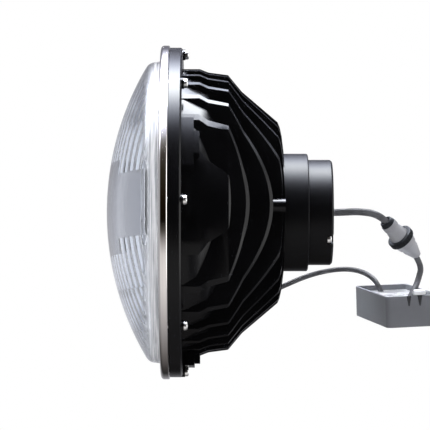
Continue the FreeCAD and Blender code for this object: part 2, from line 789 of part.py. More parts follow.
def cap_screw_spots():
    return [polar(CAP_SCREW_AT_R, angle) for angle in (CAP_SCREW_ANGLE, CAP_SCREW_ANGLE + 180)]


def make_collar_seal():
    return ring(SEAL_IN_R, SEAL_OUT_R, TUBE_END_X - SEAL, TUBE_END_X)


def make_collar():
    """A turned cup: open to the rear tube, with a wall at the back that carries the cap."""
    solid = disc(COLLAR_R, TUBE_END_X, COLLAR_END_X)
    solid = solid.makeFillet(COLLAR_EDGE, circle_edges(solid, COLLAR_R, COLLAR_END_X))
    solid = solid.cut(disc(TUBE_BORE_R, TUBE_END_X, COLLAR_END_X - COLLAR_WALL))
    solid = solid.cut(disc(COLLAR_HOLE_R, TUBE_END_X, COLLAR_END_X))
    for spot in collar_screw_spots():
        post = disc(COLLAR_PILLAR_R, TUBE_END_X, COLLAR_END_X - COLLAR_WALL, *spot)
        solid = solid.fuse(post)
        solid = solid.cut(disc(COLLAR_SHANK_R + SHANK_CLEARANCE, TUBE_END_X, COLLAR_END_X, *spot))
        solid = solid.cut(disc(COLLAR_HEAD_R + FIT, COLLAR_END_X - COLLAR_HEAD, COLLAR_END_X, *spot))
    for spot in cap_screw_spots():
        solid = solid.cut(disc(CAP_SHANK_R, COLLAR_END_X - COLLAR_WALL, COLLAR_END_X, *spot))
    return solid.removeSplitter()


def make_collar_screws():
    length = COLLAR_LENGTH - COLLAR_HEAD + COLLAR_PILLAR
    one = screw(COLLAR_HEAD_R, COLLAR_HEAD, COLLAR_SHANK_R, length)
    return group(placed(one, COLLAR_END_X - COLLAR_HEAD, y, z) for y, z in collar_screw_spots())


def make_cap_seal():
    return ring(CAP_SEAL_IN_R, CAP_SEAL_OUT_R, COLLAR_END_X, COLLAR_END_X + SEAL)


def make_cap():
    """The rear cover, with two screw pockets cut through its edge and a bushed hole for the lead."""
    solid = disc(CAP_R, COLLAR_END_X, CAP_END_X)
    solid = solid.makeChamfer(CAP_CHAMFER, circle_edges(solid, CAP_R, CAP_END_X))
    solid = solid.cut(disc(CAP_BORE_R, COLLAR_END_X, CAP_END_X - CAP_REAR_WALL))
    solid = solid.cut(disc(GROMMET_R, COLLAR_END_X, CAP_END_X))
    solid = solid.cut(ring(CAP_SEAL_IN_R, CAP_SEAL_OUT_R, COLLAR_END_X, COLLAR_END_X + SEAL))
    for spot in cap_screw_spots():
        solid = solid.cut(disc(CAP_SHANK_R + SHANK_CLEARANCE, COLLAR_END_X, CAP_END_X, *spot))
        solid = solid.cut(disc(CAP_POCKET_R, CAP_END_X - CAP_POCKET, CAP_END_X, *spot))
    return solid


def make_cap_screws():
    length = CAP_LENGTH - CAP_POCKET + COLLAR_WALL
    one = screw(CAP_HEAD_R, CAP_HEAD, CAP_SHANK_R, length)
    seat_x = CAP_END_X - CAP_POCKET
    return group(placed(one, seat_x, y, z, CAP_SCREW_TURN) for y, z in cap_screw_spots())


def make_grommet():
    wall_x = CAP_END_X - CAP_REAR_WALL
    end_x = CAP_END_X + GROMMET_FLANGE
    body = disc(GROMMET_R, wall_x, CAP_END_X)
    inside = disc(GROMMET_FLANGE_R, wall_x - GROMMET_FLANGE, wall_x)
    outside = disc(GROMMET_FLANGE_R, CAP_END_X, end_x)
    outside = outside.makeFillet(EDGE_BREAK, circle_edges(outside, GROMMET_FLANGE_R, end_x))
    solid = body.multiFuse([inside, outside])
    bore = disc(LAMP_LEAD_R, wall_x - GROMMET_FLANGE, end_x)
    return solid.cut(bore).removeSplitter()


# Leads


def tube(name, points, radius):
    """A round lead along straight runs joined by tangent arcs. Prints its radii and its length."""
    edges = []
    start = points[0]
    radii = []
    for before, corner, after in zip(points, points[1:], points[2:]):
        a, b = (before - corner), (after - corner)
        run = min(a.Length, b.Length)
        a.normalize()
        b.normalize()
        turn = math.pi - a.getAngle(b)
        cut_back = ARC_SHARE * run
        bend = cut_back / math.tan(turn / 2)
        middle = a + b
        middle.normalize()
        away = math.hypot(cut_back, bend) - bend
        first, last = corner + a * cut_back, corner + b * cut_back
        edges.append(Part.makeLine(start, first))
        edges.append(Part.Arc(first, corner + middle * away, last).toShape())
        start = last
        radii.append(bend)
    edges.append(Part.makeLine(start, points[-1]))
    path = Part.Wire(edges)
    section = Part.Wire(Part.makeCircle(radius, points[0], points[1] - points[0]))
    solid = path.makePipeShell([section], True, False)
    share = solid.Volume / (math.pi * radius**2 * path.Length)
    bends = [round(r, 1) for r in radii]
    print(f"{name}: length {path.Length:.1f}, volume share {share:.4f}, radii {bends}")
    return solid


PLUG_AXIS = (PLUG_END - PLUG_START).normalize()


def along_plug(s):
    return PLUG_START + PLUG_AXIS * s


CASE_TURN = (
    FreeCAD.Rotation(V(0, 0, 1), CASE_YAW)
    .multiply(FreeCAD.Rotation(V(1, 0, 0), CASE_TILT))
    .multiply(FreeCAD.Rotation(V(0, 1, 0), CASE_ROLL))
)
CASE_PLACE = FreeCAD.Placement(CASE_AT, CASE_TURN)


def in_case(x, y, z):
    """A point given in the box's own frame: width, length, and height above the rim."""
    return CASE_PLACE.multVec(V(x, y, z))


# The routes are chosen by hand; their first and last points lie inside what holds the lead.
LAMP_LEAD = [
    V(CAP_END_X - 2.4, 0.0, 0.0),
    V(CAP_END_X + 5.1, 0.0, 0.0),
    V(CAP_END_X + 14.0, -3.0, 1.3),
    along_plug(-7.0),
    along_plug(GRIP_LENGTH),
]
BOX_LEAD = [
    along_plug(CONNECTOR_LENGTH - BOX_LEAD_IN),
    along_plug(CONNECTOR_LENGTH + 6.0),
    V(CAP_END_X + 47.0, 13.4, -36.4),
    V(CAP_END_X + 43.8, 8.0, -42.2),
    V(CAP_END_X + 41.3, 3.6, -46.8),
    V(CAP_END_X + 40.2, 2.4, -51.2),
]
OUTPUT_LEAD = [
    in_case(LEAD_OUT[0] + 2.6, LEAD_OUT[1] - 1.0, -8.0),
    in_case(LEAD_OUT[0], LEAD_OUT[1], 1.4),
    V(CAP_END_X + 22.9, 70.5, -28.8),
    V(CAP_END_X + 13.8, 74.5, -25.6),
    V(CAP_END_X + 2.6, BEZEL_R - 9.5, -25.9),
    V(69.4, BEZEL_R - 5.0, -28.9),
    V(56.4, BEZEL_R - 1.0, -34.6),
    V(42.4, BEZEL_R + 2.4, -40.8),
    H4_START,
    H4_START + H4_DIRECTION * 8.0,
]


# In-line connector


def on_plug(solid):
    copy = solid.copy()
    copy.Placement = FreeCAD.Placement(PLUG_START, FreeCAD.Rotation(TURN, PLUG_AXIS))
    return copy


def pin_spots():
    return [polar(PIN_CIRCLE_R, 360 * i / PINS) for i in range(PINS)]


def make_plug_grip():
    solid = revolved(
        (
            (GRIP_MOUTH, LAMP_LEAD_R),
            (GRIP_MOUTH, GRIP_MOUTH_R),
            (0, GRIP_MOUTH_R),
            (0, GRIP_R - GRIP_EDGE),
            (GRIP_EDGE, GRIP_R),
            (GRIP_LENGTH, BAND_R - BAND_STEP),
            (GRIP_LENGTH, LAMP_LEAD_R),
        )
    )
    return on_plug(solid)


def make_plug_body():
    """The moulded plug: a gripped band, a cone and a flange that the nut pulls on."""
    solid = revolved(
        (
            (GRIP_LENGTH, 0),
            (GRIP_LENGTH, BAND_R),
            (BAND_END, BAND_R),
            (BAND_END, BAND_R - BAND_STEP),
            (NUT_START, CONE_R),
            (NUT_START + NUT_LIP, CONE_R),
            (NUT_START + NUT_LIP, PLUG_FLANGE_R),
            (PLUG_FACE, PLUG_FLANGE_R),
            (PLUG_FACE, 0),
        )
    )
    corner = V(GRIP_LENGTH + NOTCH_END, -NOTCH / 2, BAND_R - BAND_STEP)
    notch = Part.makeBox(BAND_LENGTH - 2 * NOTCH_END, NOTCH, NOTCH, corner)
    solid = solid.cut([placed(notch, 0, 0, 0, 360 * i / NOTCHES) for i in range(NOTCHES)])
    solid = solid.cut(ring(O_RING_IN_R, O_RING_OUT_R, PLUG_FACE - O_RING, PLUG_FACE))
    for spot in pin_spots():
        solid = solid.cut(disc(PIN_R, PLUG_FACE - PIN_BITE, PLUG_FACE, *spot))
    return on_plug(solid)


def make_connector_seal():
    return on_plug(ring(O_RING_IN_R, O_RING_OUT_R, PLUG_FACE - O_RING, PLUG_FACE))


def make_connector_pins():
    start, end = PLUG_FACE - PIN_BITE, PLUG_FACE + PIN_BITE
    return group(on_plug(disc(PIN_R, start, end, *spot)) for spot in pin_spots())


def make_coupling_nut():
    """A ribbed ring that slips over the plug's flange and screws on to the socket."""
    solid = disc(NUT_R, NUT_START, NUT_END)
    ends = circle_edges(solid, NUT_R, NUT_START) + circle_edges(solid, NUT_R, NUT_END)
    solid = solid.makeFillet(NUT_EDGE, ends)
    solid = solid.cut(disc(CONE_R, NUT_START, NUT_START + NUT_LIP))
    solid = solid.cut(disc(PLUG_FLANGE_R, NUT_START + NUT_LIP, NUT_END))
    start, end = NUT_START + GROOVE_END, NUT_END - GROOVE_END
    groove = disc(GROOVE_R, start, end, 0, NUT_R + GROOVE_OUT)
    return on_plug(solid.cut([placed(groove, 0, 0, 0, 360 * i / GROOVES) for i in range(GROOVES)]))


def make_socket_body():
    solid = revolved(
        (
            (PLUG_FACE, 0),
            (PLUG_FACE, PLUG_FLANGE_R),
            (NUT_END, PLUG_FLANGE_R),
            (NUT_END, SOCKET_R),
            (SOCKET_END - EDGE_BREAK, SOCKET_TIP_R),
            (SOCKET_END, SOCKET_TIP_R - EDGE_BREAK),
            (SOCKET_END, 0),
        )
    )
    for spot in pin_spots():
        solid = solid.cut(disc(PIN_R, PLUG_FACE, PLUG_FACE + PIN_BITE, *spot))
    solid = solid.cut(disc(BOX_LEAD_R, CONNECTOR_LENGTH - BOX_LEAD_IN, SOCKET_END))
    return on_plug(solid)


def make_socket_boot():
    shoulder = SOCKET_END + BOOT_SHOULDER * (CONNECTOR_LENGTH - SOCKET_END)
    solid = revolved(
        (
            (SOCKET_END, BOX_LEAD_R),
            (SOCKET_END, BOOT_R),
            (shoulder, BOOT_R - BOOT_STEP),
            (CONNECTOR_LENGTH, BOOT_TIP_R),
            (CONNECTOR_LENGTH, BOX_LEAD_R),
        )
    )
    return on_plug(solid)


# Decoder box


def on_case(solid):
    copy = solid.copy()
    copy.Placement = CASE_PLACE
    return copy


def tray(inset, bottom, top, edge):
    """A block with rounded upright corners, drawn in from the box's outline."""
    width, length = CASE_WIDTH - 2 * inset, CASE_LENGTH - 2 * inset
    block = Part.makeBox(width, length, top - bottom, V(inset, inset, bottom))
    upright = [e for e in block.Edges if e.BoundBox.ZLength > EDGE_SHARE * (top - bottom)]
    return block.makeFillet(edge, upright)


def make_case():
    outer = tray(0, -CASE_HEIGHT, 0, CASE_EDGE)
    floor_edges = [e for e in outer.Edges if e.BoundBox.ZMax < -EDGE_SHARE * CASE_HEIGHT]
    outer = outer.makeFillet(EDGE_BREAK, floor_edges)
    inner = tray(CASE_WALL, -CASE_HEIGHT + CASE_WALL, 0, CASE_EDGE - CASE_WALL)
    return on_case(outer.cut([inner] + wall_slots()))


def wall_slots():
    """The tapered wedges that the near wall is slit with, as solids of the wall's thickness."""
    wedges = []
    for x in SLOT_AT:
        half, foot = SLOT_WIDTH / 2, SLOT_FOOT / 2
        corners = [
            V(x - half, 0, 0),
            V(x + half, 0, 0),
            V(x + foot, 0, -SLOT_DEPTH),
            V(x - foot, 0, -SLOT_DEPTH),
            V(x - half, 0, 0),
        ]
        wedges.append(Part.Face(Part.makePolygon(corners)).extrude(V(0, CASE_WALL, 0)))
    return wedges


def make_slot_seals():
    return group(on_case(wedge) for wedge in wall_slots())


def board_block():
    corner = V(CASE_WALL + BOARD_IN, CASE_WALL + BOARD_IN, -CASE_HEIGHT + BOARD_OFF_FLOOR)
    width = CASE_WIDTH - 2 * (CASE_WALL + BOARD_IN)
    length = CASE_LENGTH - 2 * (CASE_WALL + BOARD_IN)
    return Part.makeBox(width, length, DECODER_BOARD, corner)


def make_decoder_board():
    return on_case(board_block())


def make_potting(leads, clip):
    fill = tray(CASE_WALL, -CASE_HEIGHT + CASE_WALL, -POTTING_DROP, CASE_EDGE - CASE_WALL)
    solid = on_case(fill.cut(board_block()))
    return solid.cut(leads + [clip])


def make_clip():
    """A pale bead that lies on the rim beside the lead, with a foot down into the potting."""
    x = SLOT_AT[1]
    corner = V(x - CLIP_LENGTH / 2, CASE_WALL, CLIP_R)
    bead = Part.makeCylinder(CLIP_R, CLIP_LENGTH, corner, TURN)
    ends = [e for e in bead.Edges if e.BoundBox.XLength < CLIP_R]
    bead = bead.makeFillet(CLIP_ROUND * CLIP_R, ends)
    depth = POTTING_DROP + CLIP_BITE
    foot = Part.makeBox(CLIP_WIDTH, CLIP_R, depth + CLIP_R, V(x - CLIP_WIDTH / 2, CASE_WALL, -depth))
    return on_case(bead.fuse(foot).removeSplitter())


# Headlight socket plug


def on_h4(solid):
    copy = solid.copy()
    copy.Placement = FreeCAD.Placement(H4_START, FreeCAD.Rotation(TURN, H4_DIRECTION))
    return copy


def blade_boxes():
    """Two upright blades and one flat one above them, as the bulb socket's contacts lie."""
    x = H4_LENGTH - BLADE_IN
    length = BLADE_IN + BLADE_OUT
    boxes = []
    for y in (-BLADE_ASIDE, BLADE_ASIDE):
        boxes.append(Part.makeBox(length, BLADE, BLADE_WIDTH, V(x, y - BLADE / 2, -BLADE_BELOW)))
    boxes.append(Part.makeBox(length, BLADE_WIDTH, BLADE, V(x, -BLADE_WIDTH / 2, BLADE_ABOVE)))
    return boxes


def make_h4_body(lead):
    block = Part.makeBox(H4_LENGTH, H4_WIDTH, H4_HEIGHT, V(0, -H4_WIDTH / 2, -H4_HEIGHT / 2))
    along = [e for e in block.Edges if e.BoundBox.XLength > EDGE_SHARE * H4_LENGTH]
    block = block.makeFillet(H4_EDGE, along)
    block = block.cut(blade_boxes())
    return on_h4(block).cut(lead)


def make_h4_blades():
    return group(on_h4(blade) for blade in blade_boxes())


def main():
    os.makedirs("parts", exist_ok=True)
    lamp_lead = tube("lamp_lead", LAMP_LEAD, LAMP_LEAD_R)
    box_lead = tube("box_lead", BOX_LEAD, BOX_LEAD_R)
    output_lead = tube("output_lead", OUTPUT_LEAD, OUTPUT_LEAD_R)
    clip = make_clip()
    pieces = {
        "lens": make_lens(),
        "lens_gasket": make_lens_gasket(),
        "bezel_ring": make_bezel(),
        "rim_screws": make_rim_screws(),
        "heat_sink_housing": make_housing(),
        "reflector": make_reflector(),
        "reflector_screws": make_reflector_screws(),
        "inner_trim_ring": make_trim_ring(),
        "thermal_pad": make_pad(),
        "led_board": make_led_board(),
        "low_beam_leds": chip_row(LOW_CHIPS, LOW_ROW_Z),
        "high_beam_leds": chip_row(HIGH_CHIPS, HIGH_ROW_Z),
        "led_board_screws": make_board_screws(),
        "led_wires": make_led_wires(),
        "driver_board": make_driver_board(),
        "driver_standoffs": make_standoffs(),
        "driver_screws": make_driver_screws(),
        "power_inductor": make_inductor(),
        "capacitors": make_capacitors(),
        "regulator_chips": make_regulators(),
        "collar_seal": make_collar_seal(),
        "rear_collar": make_collar(),
        "collar_screws": make_collar_screws(),
        "cap_seal": make_cap_seal(),
        "rear_cap": make_cap(),
        "cap_screws": make_cap_screws(),
        "cable_grommet": make_grommet(),
        "lamp_lead": lamp_lead,
        "plug_grip": make_plug_grip(),
        "plug_body": make_plug_body(),
        "connector_seal": make_connector_seal(),
        "connector_pins": make_connector_pins(),
        "coupling_nut": make_coupling_nut(),
        "socket_body": make_socket_body(),
        "socket_boot": make_socket_boot(),
        "box_lead": box_lead,
        "wire_clip": clip,
        "decoder_case": make_case(),
        "slot_seals": make_slot_seals(),
        "decoder_board": make_decoder_board(),
        "potting": make_potting([box_lead, output_lead], clip),
        "output_lead": output_lead,
        "h4_plug_body": make_h4_body(output_lead),
        "h4_plug_blades": make_h4_blades(),
    }
    for name, shape in pieces.items():
        shape.exportStep(f"parts/{name}.step")


main()
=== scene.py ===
"""A round LED motorcycle headlight insert and its plug-in decoder box, finished over their solids.

The lamp's axis is X: light leaves towards -X and the heat sink points to +X. +Z is up, and all
lengths are in metres. The panel in the 3D view's sidebar builds the pieces one group at a time.
"""

import json
import math

import bmesh
import bpy
from bpy.props import FloatProperty, FloatVectorProperty, PointerProperty
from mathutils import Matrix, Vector


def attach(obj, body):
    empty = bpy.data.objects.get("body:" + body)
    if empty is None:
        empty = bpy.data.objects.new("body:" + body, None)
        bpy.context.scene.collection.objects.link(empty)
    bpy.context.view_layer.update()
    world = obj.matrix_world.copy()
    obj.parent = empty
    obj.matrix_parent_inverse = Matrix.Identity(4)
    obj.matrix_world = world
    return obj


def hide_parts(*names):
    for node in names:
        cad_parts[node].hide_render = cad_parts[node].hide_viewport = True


bl_info = {
    "name": "Motorcycle headlight",
    "version": (1, 0, 0),
    "blender": (4, 5, 0),
    "location": "View3D > Sidebar > Headlight",
    "description": "Finishes a round LED headlight, its leads and its decoder box",
    "category": "Object",
}

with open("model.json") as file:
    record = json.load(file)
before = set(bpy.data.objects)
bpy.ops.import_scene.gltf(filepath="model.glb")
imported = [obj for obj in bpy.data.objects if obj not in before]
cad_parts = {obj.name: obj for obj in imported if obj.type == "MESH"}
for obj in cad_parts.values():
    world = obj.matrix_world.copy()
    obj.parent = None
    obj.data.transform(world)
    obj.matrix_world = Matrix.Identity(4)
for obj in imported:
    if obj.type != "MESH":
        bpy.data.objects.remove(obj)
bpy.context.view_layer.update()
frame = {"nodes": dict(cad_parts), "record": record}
SOLIDS = frame["nodes"]
SLOTS = {part["node"]: part["material_slot"] for part in frame["record"]["subparts"]}


# Settings


def length(name, description, default):
    return FloatProperty(
        name=name, description=description, default=default, subtype="DISTANCE", unit="LENGTH"
    )


def share(name, description, default):
    return FloatProperty(
        name=name, description=description, default=default, min=0, max=1, subtype="FACTOR"
    )


def colour(name, description, default):
    return FloatVectorProperty(
        name=name, description=description, default=default, size=3, min=0, max=1, subtype="COLOR"
    )


class LensSizes(bpy.types.PropertyGroup):
    """Sizes of the fluted lens."""

    apex_x: length("Apex", "Place of the dome's front on the lamp's axis", -0.0406)
    dome: length("Dome radius", "Radius of the outer sphere", 0.152)
    wall: length("Wall", "Thickness of the dome", 0.003)
    skirt: length("Skirt radius", "Outer radius of the skirt", 0.081)
    skirt_wall: length("Skirt wall", "Thickness of the skirt", 0.0032)
    edge: length("Edge", "Rounding between the dome and the skirt", 0.006)
    draft: length("Draft", "How far the skirt narrows towards the dome", 0.0008)
    foot: length("Foot radius", "Outer radius of the foot under the bezel", 0.0826)
    foot_depth: length("Foot depth", "Depth of the foot", 0.002)
    back_x: length("Back", "Place of the foot's rear face", -0.007)
    pitch: length("Flute pitch", "Width of one upright rib", 0.0065)
    rise: length("Flute rise", "How far a rib stands in", 0.0011)
    row_shift: length("Row shift", "How far each row of ribs moves sideways", 0.0022)
    first_row: length("First row ends", "Height where the first row of ribs ends", 0.042)
    second_row: length("Second row ends", "Height where the second row of ribs ends", 0.0625)
    clear_wide: length("Clear band", "Half height of the smooth band across the lens", 0.0165)
    clear_far: length("Clear band, far side", "Half height of that band on the +Y side", 0.026)
    clear_tall: length("Clear middle", "Half height of the smooth middle", 0.024)
    clear_half_width: length("Clear middle width", "Half width of the smooth middle", 0.042)
    clear_reach: length("Clear reach", "Radius where the smooth band ends in low ribs", 0.0735)
    rim_share: share("Rim ribs", "Height of those low ribs, as a share of the others", 0.4)


class BezelSizes(bpy.types.PropertyGroup):
    """Sizes of the nickel ring that holds the lens."""

    radius: length("Radius", "Outer radius of the ring", 0.089)
    lip: length("Lip radius", "Radius of the lip over the lens", 0.0813)
    rebate: length("Rebate radius", "Radius of the rebate for the lens' foot", 0.0829)
    front_x: length("Front", "Place of the front face", -0.0115)
    rebate_x: length("Rebate", "Place of the rebate's shoulder", -0.009)
    back_x: length("Back", "Place of the rear face", -0.007)
    edge: length("Edge", "Rounding of the front outer edge", 0.0018)
    rear_edge: length("Rear edge", "Bevel of the rear outer edge", 0.0003)


class LeadSizes(bpy.types.PropertyGroup):
    """Thickness of the three leads."""

    lamp: length("Lamp lead", "Diameter of the lead from the rear cap", 0.0038)
    box: length("Box lead", "Diameter of the lead into the decoder box", 0.0032)
    output: length("Output lead", "Diameter of the lead to the socket plug", 0.0028)


class Colours(bpy.types.PropertyGroup):
    """Colours of the finishes."""

    lens: colour("Lens", "Tint of the clear lens", (0.80, 0.82, 0.85))
    skirt: colour("Skirt", "Frosted skirt of the lens", (0.97, 0.97, 0.98))
    nickel: colour("Nickel", "Satin nickel of the bezel", (0.72, 0.69, 0.665))
    casting: colour("Casting", "Black powder coat of the heat sink", (0.0025, 0.0025, 0.003))
    turned: colour("Turned black", "Black of the collar and the cap", (0.0025, 0.0025, 0.003))
    cable: colour("Cable", "Sheath of the leads", (0.116, 0.116, 0.124))
    connector: colour("Connector", "Grey of the moulded plug", (0.35, 0.35, 0.37))
    nut: colour("Nut", "Black nylon of the coupling nut", (0.014, 0.015, 0.017))
    case: colour("Decoder case", "Grey of the moulded box", (0.160, 0.164, 0.176))
    potting: colour("Potting", "Cured resin in the box", (0.80, 0.80, 0.82))


class StageSettings(bpy.types.PropertyGroup):
    """Camera and studio light."""

    distance: length("Camera distance", "From the lamp to the camera", 1.3095)
    elevation: FloatProperty(
        name="Elevation",
        description="Angle of the camera above the lamp, or below it when negative",
        default=math.radians(-4.25),
        subtype="ANGLE",
        unit="ROTATION",
    )
    aim_x: length("Aim along the lamp", "Where the camera points, along the axis", 0.0171)
    aim_z: length("Aim height", "Where the camera points, in height", -0.00134)
    focal: FloatProperty(
        name="Focal length", description="In mm, of a 36 mm wide sensor", default=205.1, min=1
    )
    floor_z: length("Floor", "Height of the floor", -0.25)
    key: FloatProperty(
        name="Key light",
        description="Power of the overhead softbox",
        default=3.8,
        min=0,
        subtype="POWER",
        unit="POWER",
    )
    sky: FloatProperty(
        name="Surround", description="Brightest that a reflection may be", default=58.0, min=0
    )
    fill: share("Fill", "Strength of the even light from all round", 0.72)


# Meshes

MERGE = 2e-6  # points nearer than this are one
FLAT = 0.5  # degrees between triangles that are joined to one face
SHARP = 32.0  # degrees between faces that meet in a sharp edge


def merged(bm):
    """Joins the points that lie together, and drops the faces that had no area."""
    bmesh.ops.remove_doubles(bm, verts=bm.verts, dist=MERGE)
    bmesh.ops.dissolve_degenerate(bm, dist=MERGE / 2, edges=bm.edges)


def shaded(bm, sharp=SHARP):
    """Smooth shading, broken where faces meet at more than that many degrees."""
    limit = math.radians(sharp)
    for face in bm.faces:
        face.smooth = True
    for edge in bm.edges:
        edge.smooth = len(edge.link_faces) == 2 and edge.calc_face_angle() < limit


def spun(bm, profile, steps):
    """Turns a closed line of (x, radius) points about the lamp's axis."""
    points = [bm.verts.new((x, 0, radius)) for x, radius in profile]
    edges = [bm.edges.new(pair) for pair in zip(points, points[1:] + points[:1])]
    bmesh.ops.spin(
        bm,
        geom=points + edges,
        cent=(0, 0, 0),
        axis=(1, 0, 0),
        dvec=(0, 0, 0),
        angle=math.tau,
        steps=steps,
        use_merge=True,
    )


def arc(centre, radius, start, end, count):
    """Points of (x, radius) round a centre. Its angles are 0 to the front and 90 to the rim."""
    points = []
    for i in range(count + 1):
        angle = math.radians(start + (end - start) * i / count)
        along, across = radius * math.cos(angle), radius * math.sin(angle)
        points.append((centre[0] - along, centre[1] + across))
    return points


def kept(name, bm, node):
    """A finished piece at the origin that stands for that solid and rides with the lamp."""
    mesh = bpy.data.meshes.new(name)
    bm.to_mesh(mesh)
    bm.free()
    piece = bpy.data.objects.new(name, mesh)
    bpy.context.scene.collection.objects.link(piece)
    mesh.materials.append(finish(SLOTS[node]))
    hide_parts(node)
    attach(piece, "root")
    return piece


def dressed(node, name, bevel=0.0):
    """A copy of a solid: its triangles are joined, its edges broken and its shading smooth."""
    bm = bmesh.new()
    bm.from_mesh(SOLIDS[node].data)
    merged(bm)
    bmesh.ops.dissolve_limit(
        bm, angle_limit=math.radians(FLAT), verts=bm.verts, edges=bm.edges, delimit={"NORMAL"}
    )
    shaded(bm)
    piece = kept(name, bm, node)
    if bevel:
        edge = piece.modifiers.new("Broken edges", "BEVEL")
        edge.limit_method = "ANGLE"
        edge.angle_limit = math.radians(SHARP)
        edge.width = bevel
        edge.segments = 2
        edge.harden_normals = True


# Node trees

MIX_COLOURS = slice(6, 8)  # the colour sockets of a mix node
MIX_COLOUR = 2  # and the one that its mixed colour comes out of


class Nodes:
    """A node tree under way."""

    def __init__(self, tree):
        self.tree = tree

    def node(self, kind, **settings):
        made = self.tree.nodes.new(kind)
        for key, value in settings.items():
            setattr(made, key, value)
        return made

    def link(self, source, target):
        self.tree.links.new(source, target)

    def math(self, operation, first, second=None):
        made = self.node("ShaderNodeMath", operation=operation)
        for socket, value in zip(made.inputs, (first, second)):
            if isinstance(value, (int, float)):
                socket.default_value = value
            elif value is not None:
                self.link(value, socket)
        return made.outputs[0]

    def parts(self, vector):
        """The vector's x, y and z."""
        made = self.node("ShaderNodeSeparateXYZ")
        self.link(vector, made.inputs[0])
        return made.outputs

    def ramp(self, factor, low, high, start=0.0, end=1.0):
        """The factor's values from low to high, stretched over start to end."""
        made = self.node("ShaderNodeMapRange")
        made.inputs["From Min"].default_value = low
        made.inputs["From Max"].default_value = high
        made.inputs["To Min"].default_value = start
        made.inputs["To Max"].default_value = end
        self.link(factor, made.inputs["Value"])
        return made.outputs[0]


# Finishes

NOISE_SPAN = (0.3, 0.7)  # nearly all of a noise's values lie between these


class Finish(Nodes):
    """A material under way. Noise on the object's own coordinates varies it."""

    def __init__(self, name, **numbers):
        self.material = bpy.data.materials.new(name)
        self.material.use_nodes = True
        super().__init__(self.material.node_tree)
        self.shader = self.tree.nodes["Principled BSDF"]
        self.place = self.node("ShaderNodeTexCoord").outputs["Object"]
        for key, value in numbers.items():
            socket = key.replace("_", " ").title().replace("Ior", "IOR")
            self.shader.inputs[socket].default_value = value

    def turned_place(self, along, across, round_):
        """Coordinates that follow the lathe, scaled along the axis, out from it and round it."""
        x, y, z = self.parts(self.place)
        squares = self.math("ADD", self.math("POWER", y, 2.0), self.math("POWER", z, 2.0))
        radius = self.math("SQRT", squares)
        out = self.math("MULTIPLY", radius, across)
        joined = self.node("ShaderNodeCombineXYZ")
        self.link(self.math("ADD", self.math("MULTIPLY", x, along), out), joined.inputs[0])
        for socket, value in zip(joined.inputs[1:], (y, z)):
            turn = self.math("DIVIDE", value, radius)
            self.link(self.math("MULTIPLY", turn, round_), socket)
        return joined.outputs[0]

    def noise(self, scale, detail=3.0, place=None, stretch=None):
        place = place or self.place
        if stretch:
            mapping = self.node("ShaderNodeMapping")
            mapping.inputs["Scale"].default_value = stretch
            self.link(place, mapping.inputs["Vector"])
            place = mapping.outputs[0]
        made = self.node("ShaderNodeTexNoise")
        made.inputs["Scale"].default_value = scale
        made.inputs["Detail"].default_value = detail
        made.inputs["Roughness"].default_value = 0.55
        self.link(place, made.inputs["Vector"])
        return made.outputs["Fac"]

    def cells(self, scale):
        made = self.node("ShaderNodeTexVoronoi", feature="F1")
        made.inputs["Scale"].default_value = scale
        self.link(self.place, made.inputs["Vector"])
        return made.outputs["Distance"]

    def base(self, factor, first, second):
        """A base colour that goes from the first to the second with the factor."""
        mix = self.node("ShaderNodeMix", data_type="RGBA")
        self.link(factor, mix.inputs["Factor"])
        for socket, rgb in zip(mix.inputs[MIX_COLOURS], (first, second)):
            socket.default_value = (*rgb, 1)
        self.link(mix.outputs[MIX_COLOUR], self.shader.inputs["Base Color"])

    def shades(self, factor, rgb, darkest, lightest):
        """The same with two shades of one colour, each a multiple of it."""
        first, second = [
            tuple(min(1.0, value * shade) for value in rgb) for shade in (darkest, lightest)
        ]
        self.base(factor, first, second)

    def rough(self, factor, low, high):
        """Roughness from low to high with a noise."""
        self.link(self.ramp(factor, *NOISE_SPAN, low, high), self.shader.inputs["Roughness"])
        return self

    def relief(self, height, strength, distance):
        """Fine relief from a height."""
        bump = self.node("ShaderNodeBump")
        bump.inputs["Strength"].default_value = strength
        bump.inputs["Distance"].default_value = distance
        self.link(height, bump.inputs["Height"])
        self.link(bump.outputs[0], self.shader.inputs["Normal"])
        return self


FROST_X = (-0.0182, -0.0150)  # where the frost begins and where it is in full, along the axis
FROST_LEAST = 0.42  # frost between the rings
FROST_RINGS = 0.55  # and what the rings add to it


def clear_lens():
    """Clear in front; the moulded skirt behind it is frosted in uneven rings."""
    f = Finish("Clear fluted lens", ior=1.49)
    smudge = f.noise(35, 4)
    rings = f.ramp(f.noise(1.0, 3, place=f.turned_place(1300, 0, 2.4)), 0.38, 0.62)
    x, _, _ = f.parts(f.place)
    amount = f.math("ADD", FROST_LEAST, f.math("MULTIPLY", rings, FROST_RINGS))
    frost = f.math("MULTIPLY", f.ramp(x, *FROST_X), amount)
    f.link(f.math("SUBTRACT", 1.0, frost), f.shader.inputs["Transmission Weight"])
    f.base(frost, colours().lens, colours().skirt)
    return f.rough(smudge, 0.03, 0.055).relief(f.noise(90, 1), 0.05, 0.0002)


def satin_nickel():
    f = Finish("Satin nickel", metallic=1.0)
    lines = f.noise(1.0, 4, place=f.turned_place(9000, 9000, 1.2))
    patches = f.math("MULTIPLY", f.noise(22, 2), 0.3)
    f.shades(f.ramp(lines, 0.3, 0.7), colours().nickel, 0.93, 1.06)
    wear = f.math("ADD", f.math("MULTIPLY", lines, 0.7), patches)
    return f.rough(wear, 0.06, 0.12).relief(lines, 0.10, 0.00004)


def black_casting():
    f = Finish("Powder coated casting", specular_ior_level=0.155)
    peel = f.noise(1400, 2)
    wash = f.noise(40, 3)
    f.shades(f.ramp(wash, 0.35, 0.65), colours().casting, 0.8, 1.35)
    return f.rough(wash, 0.18, 0.25).relief(peel, 0.06, 0.00008)


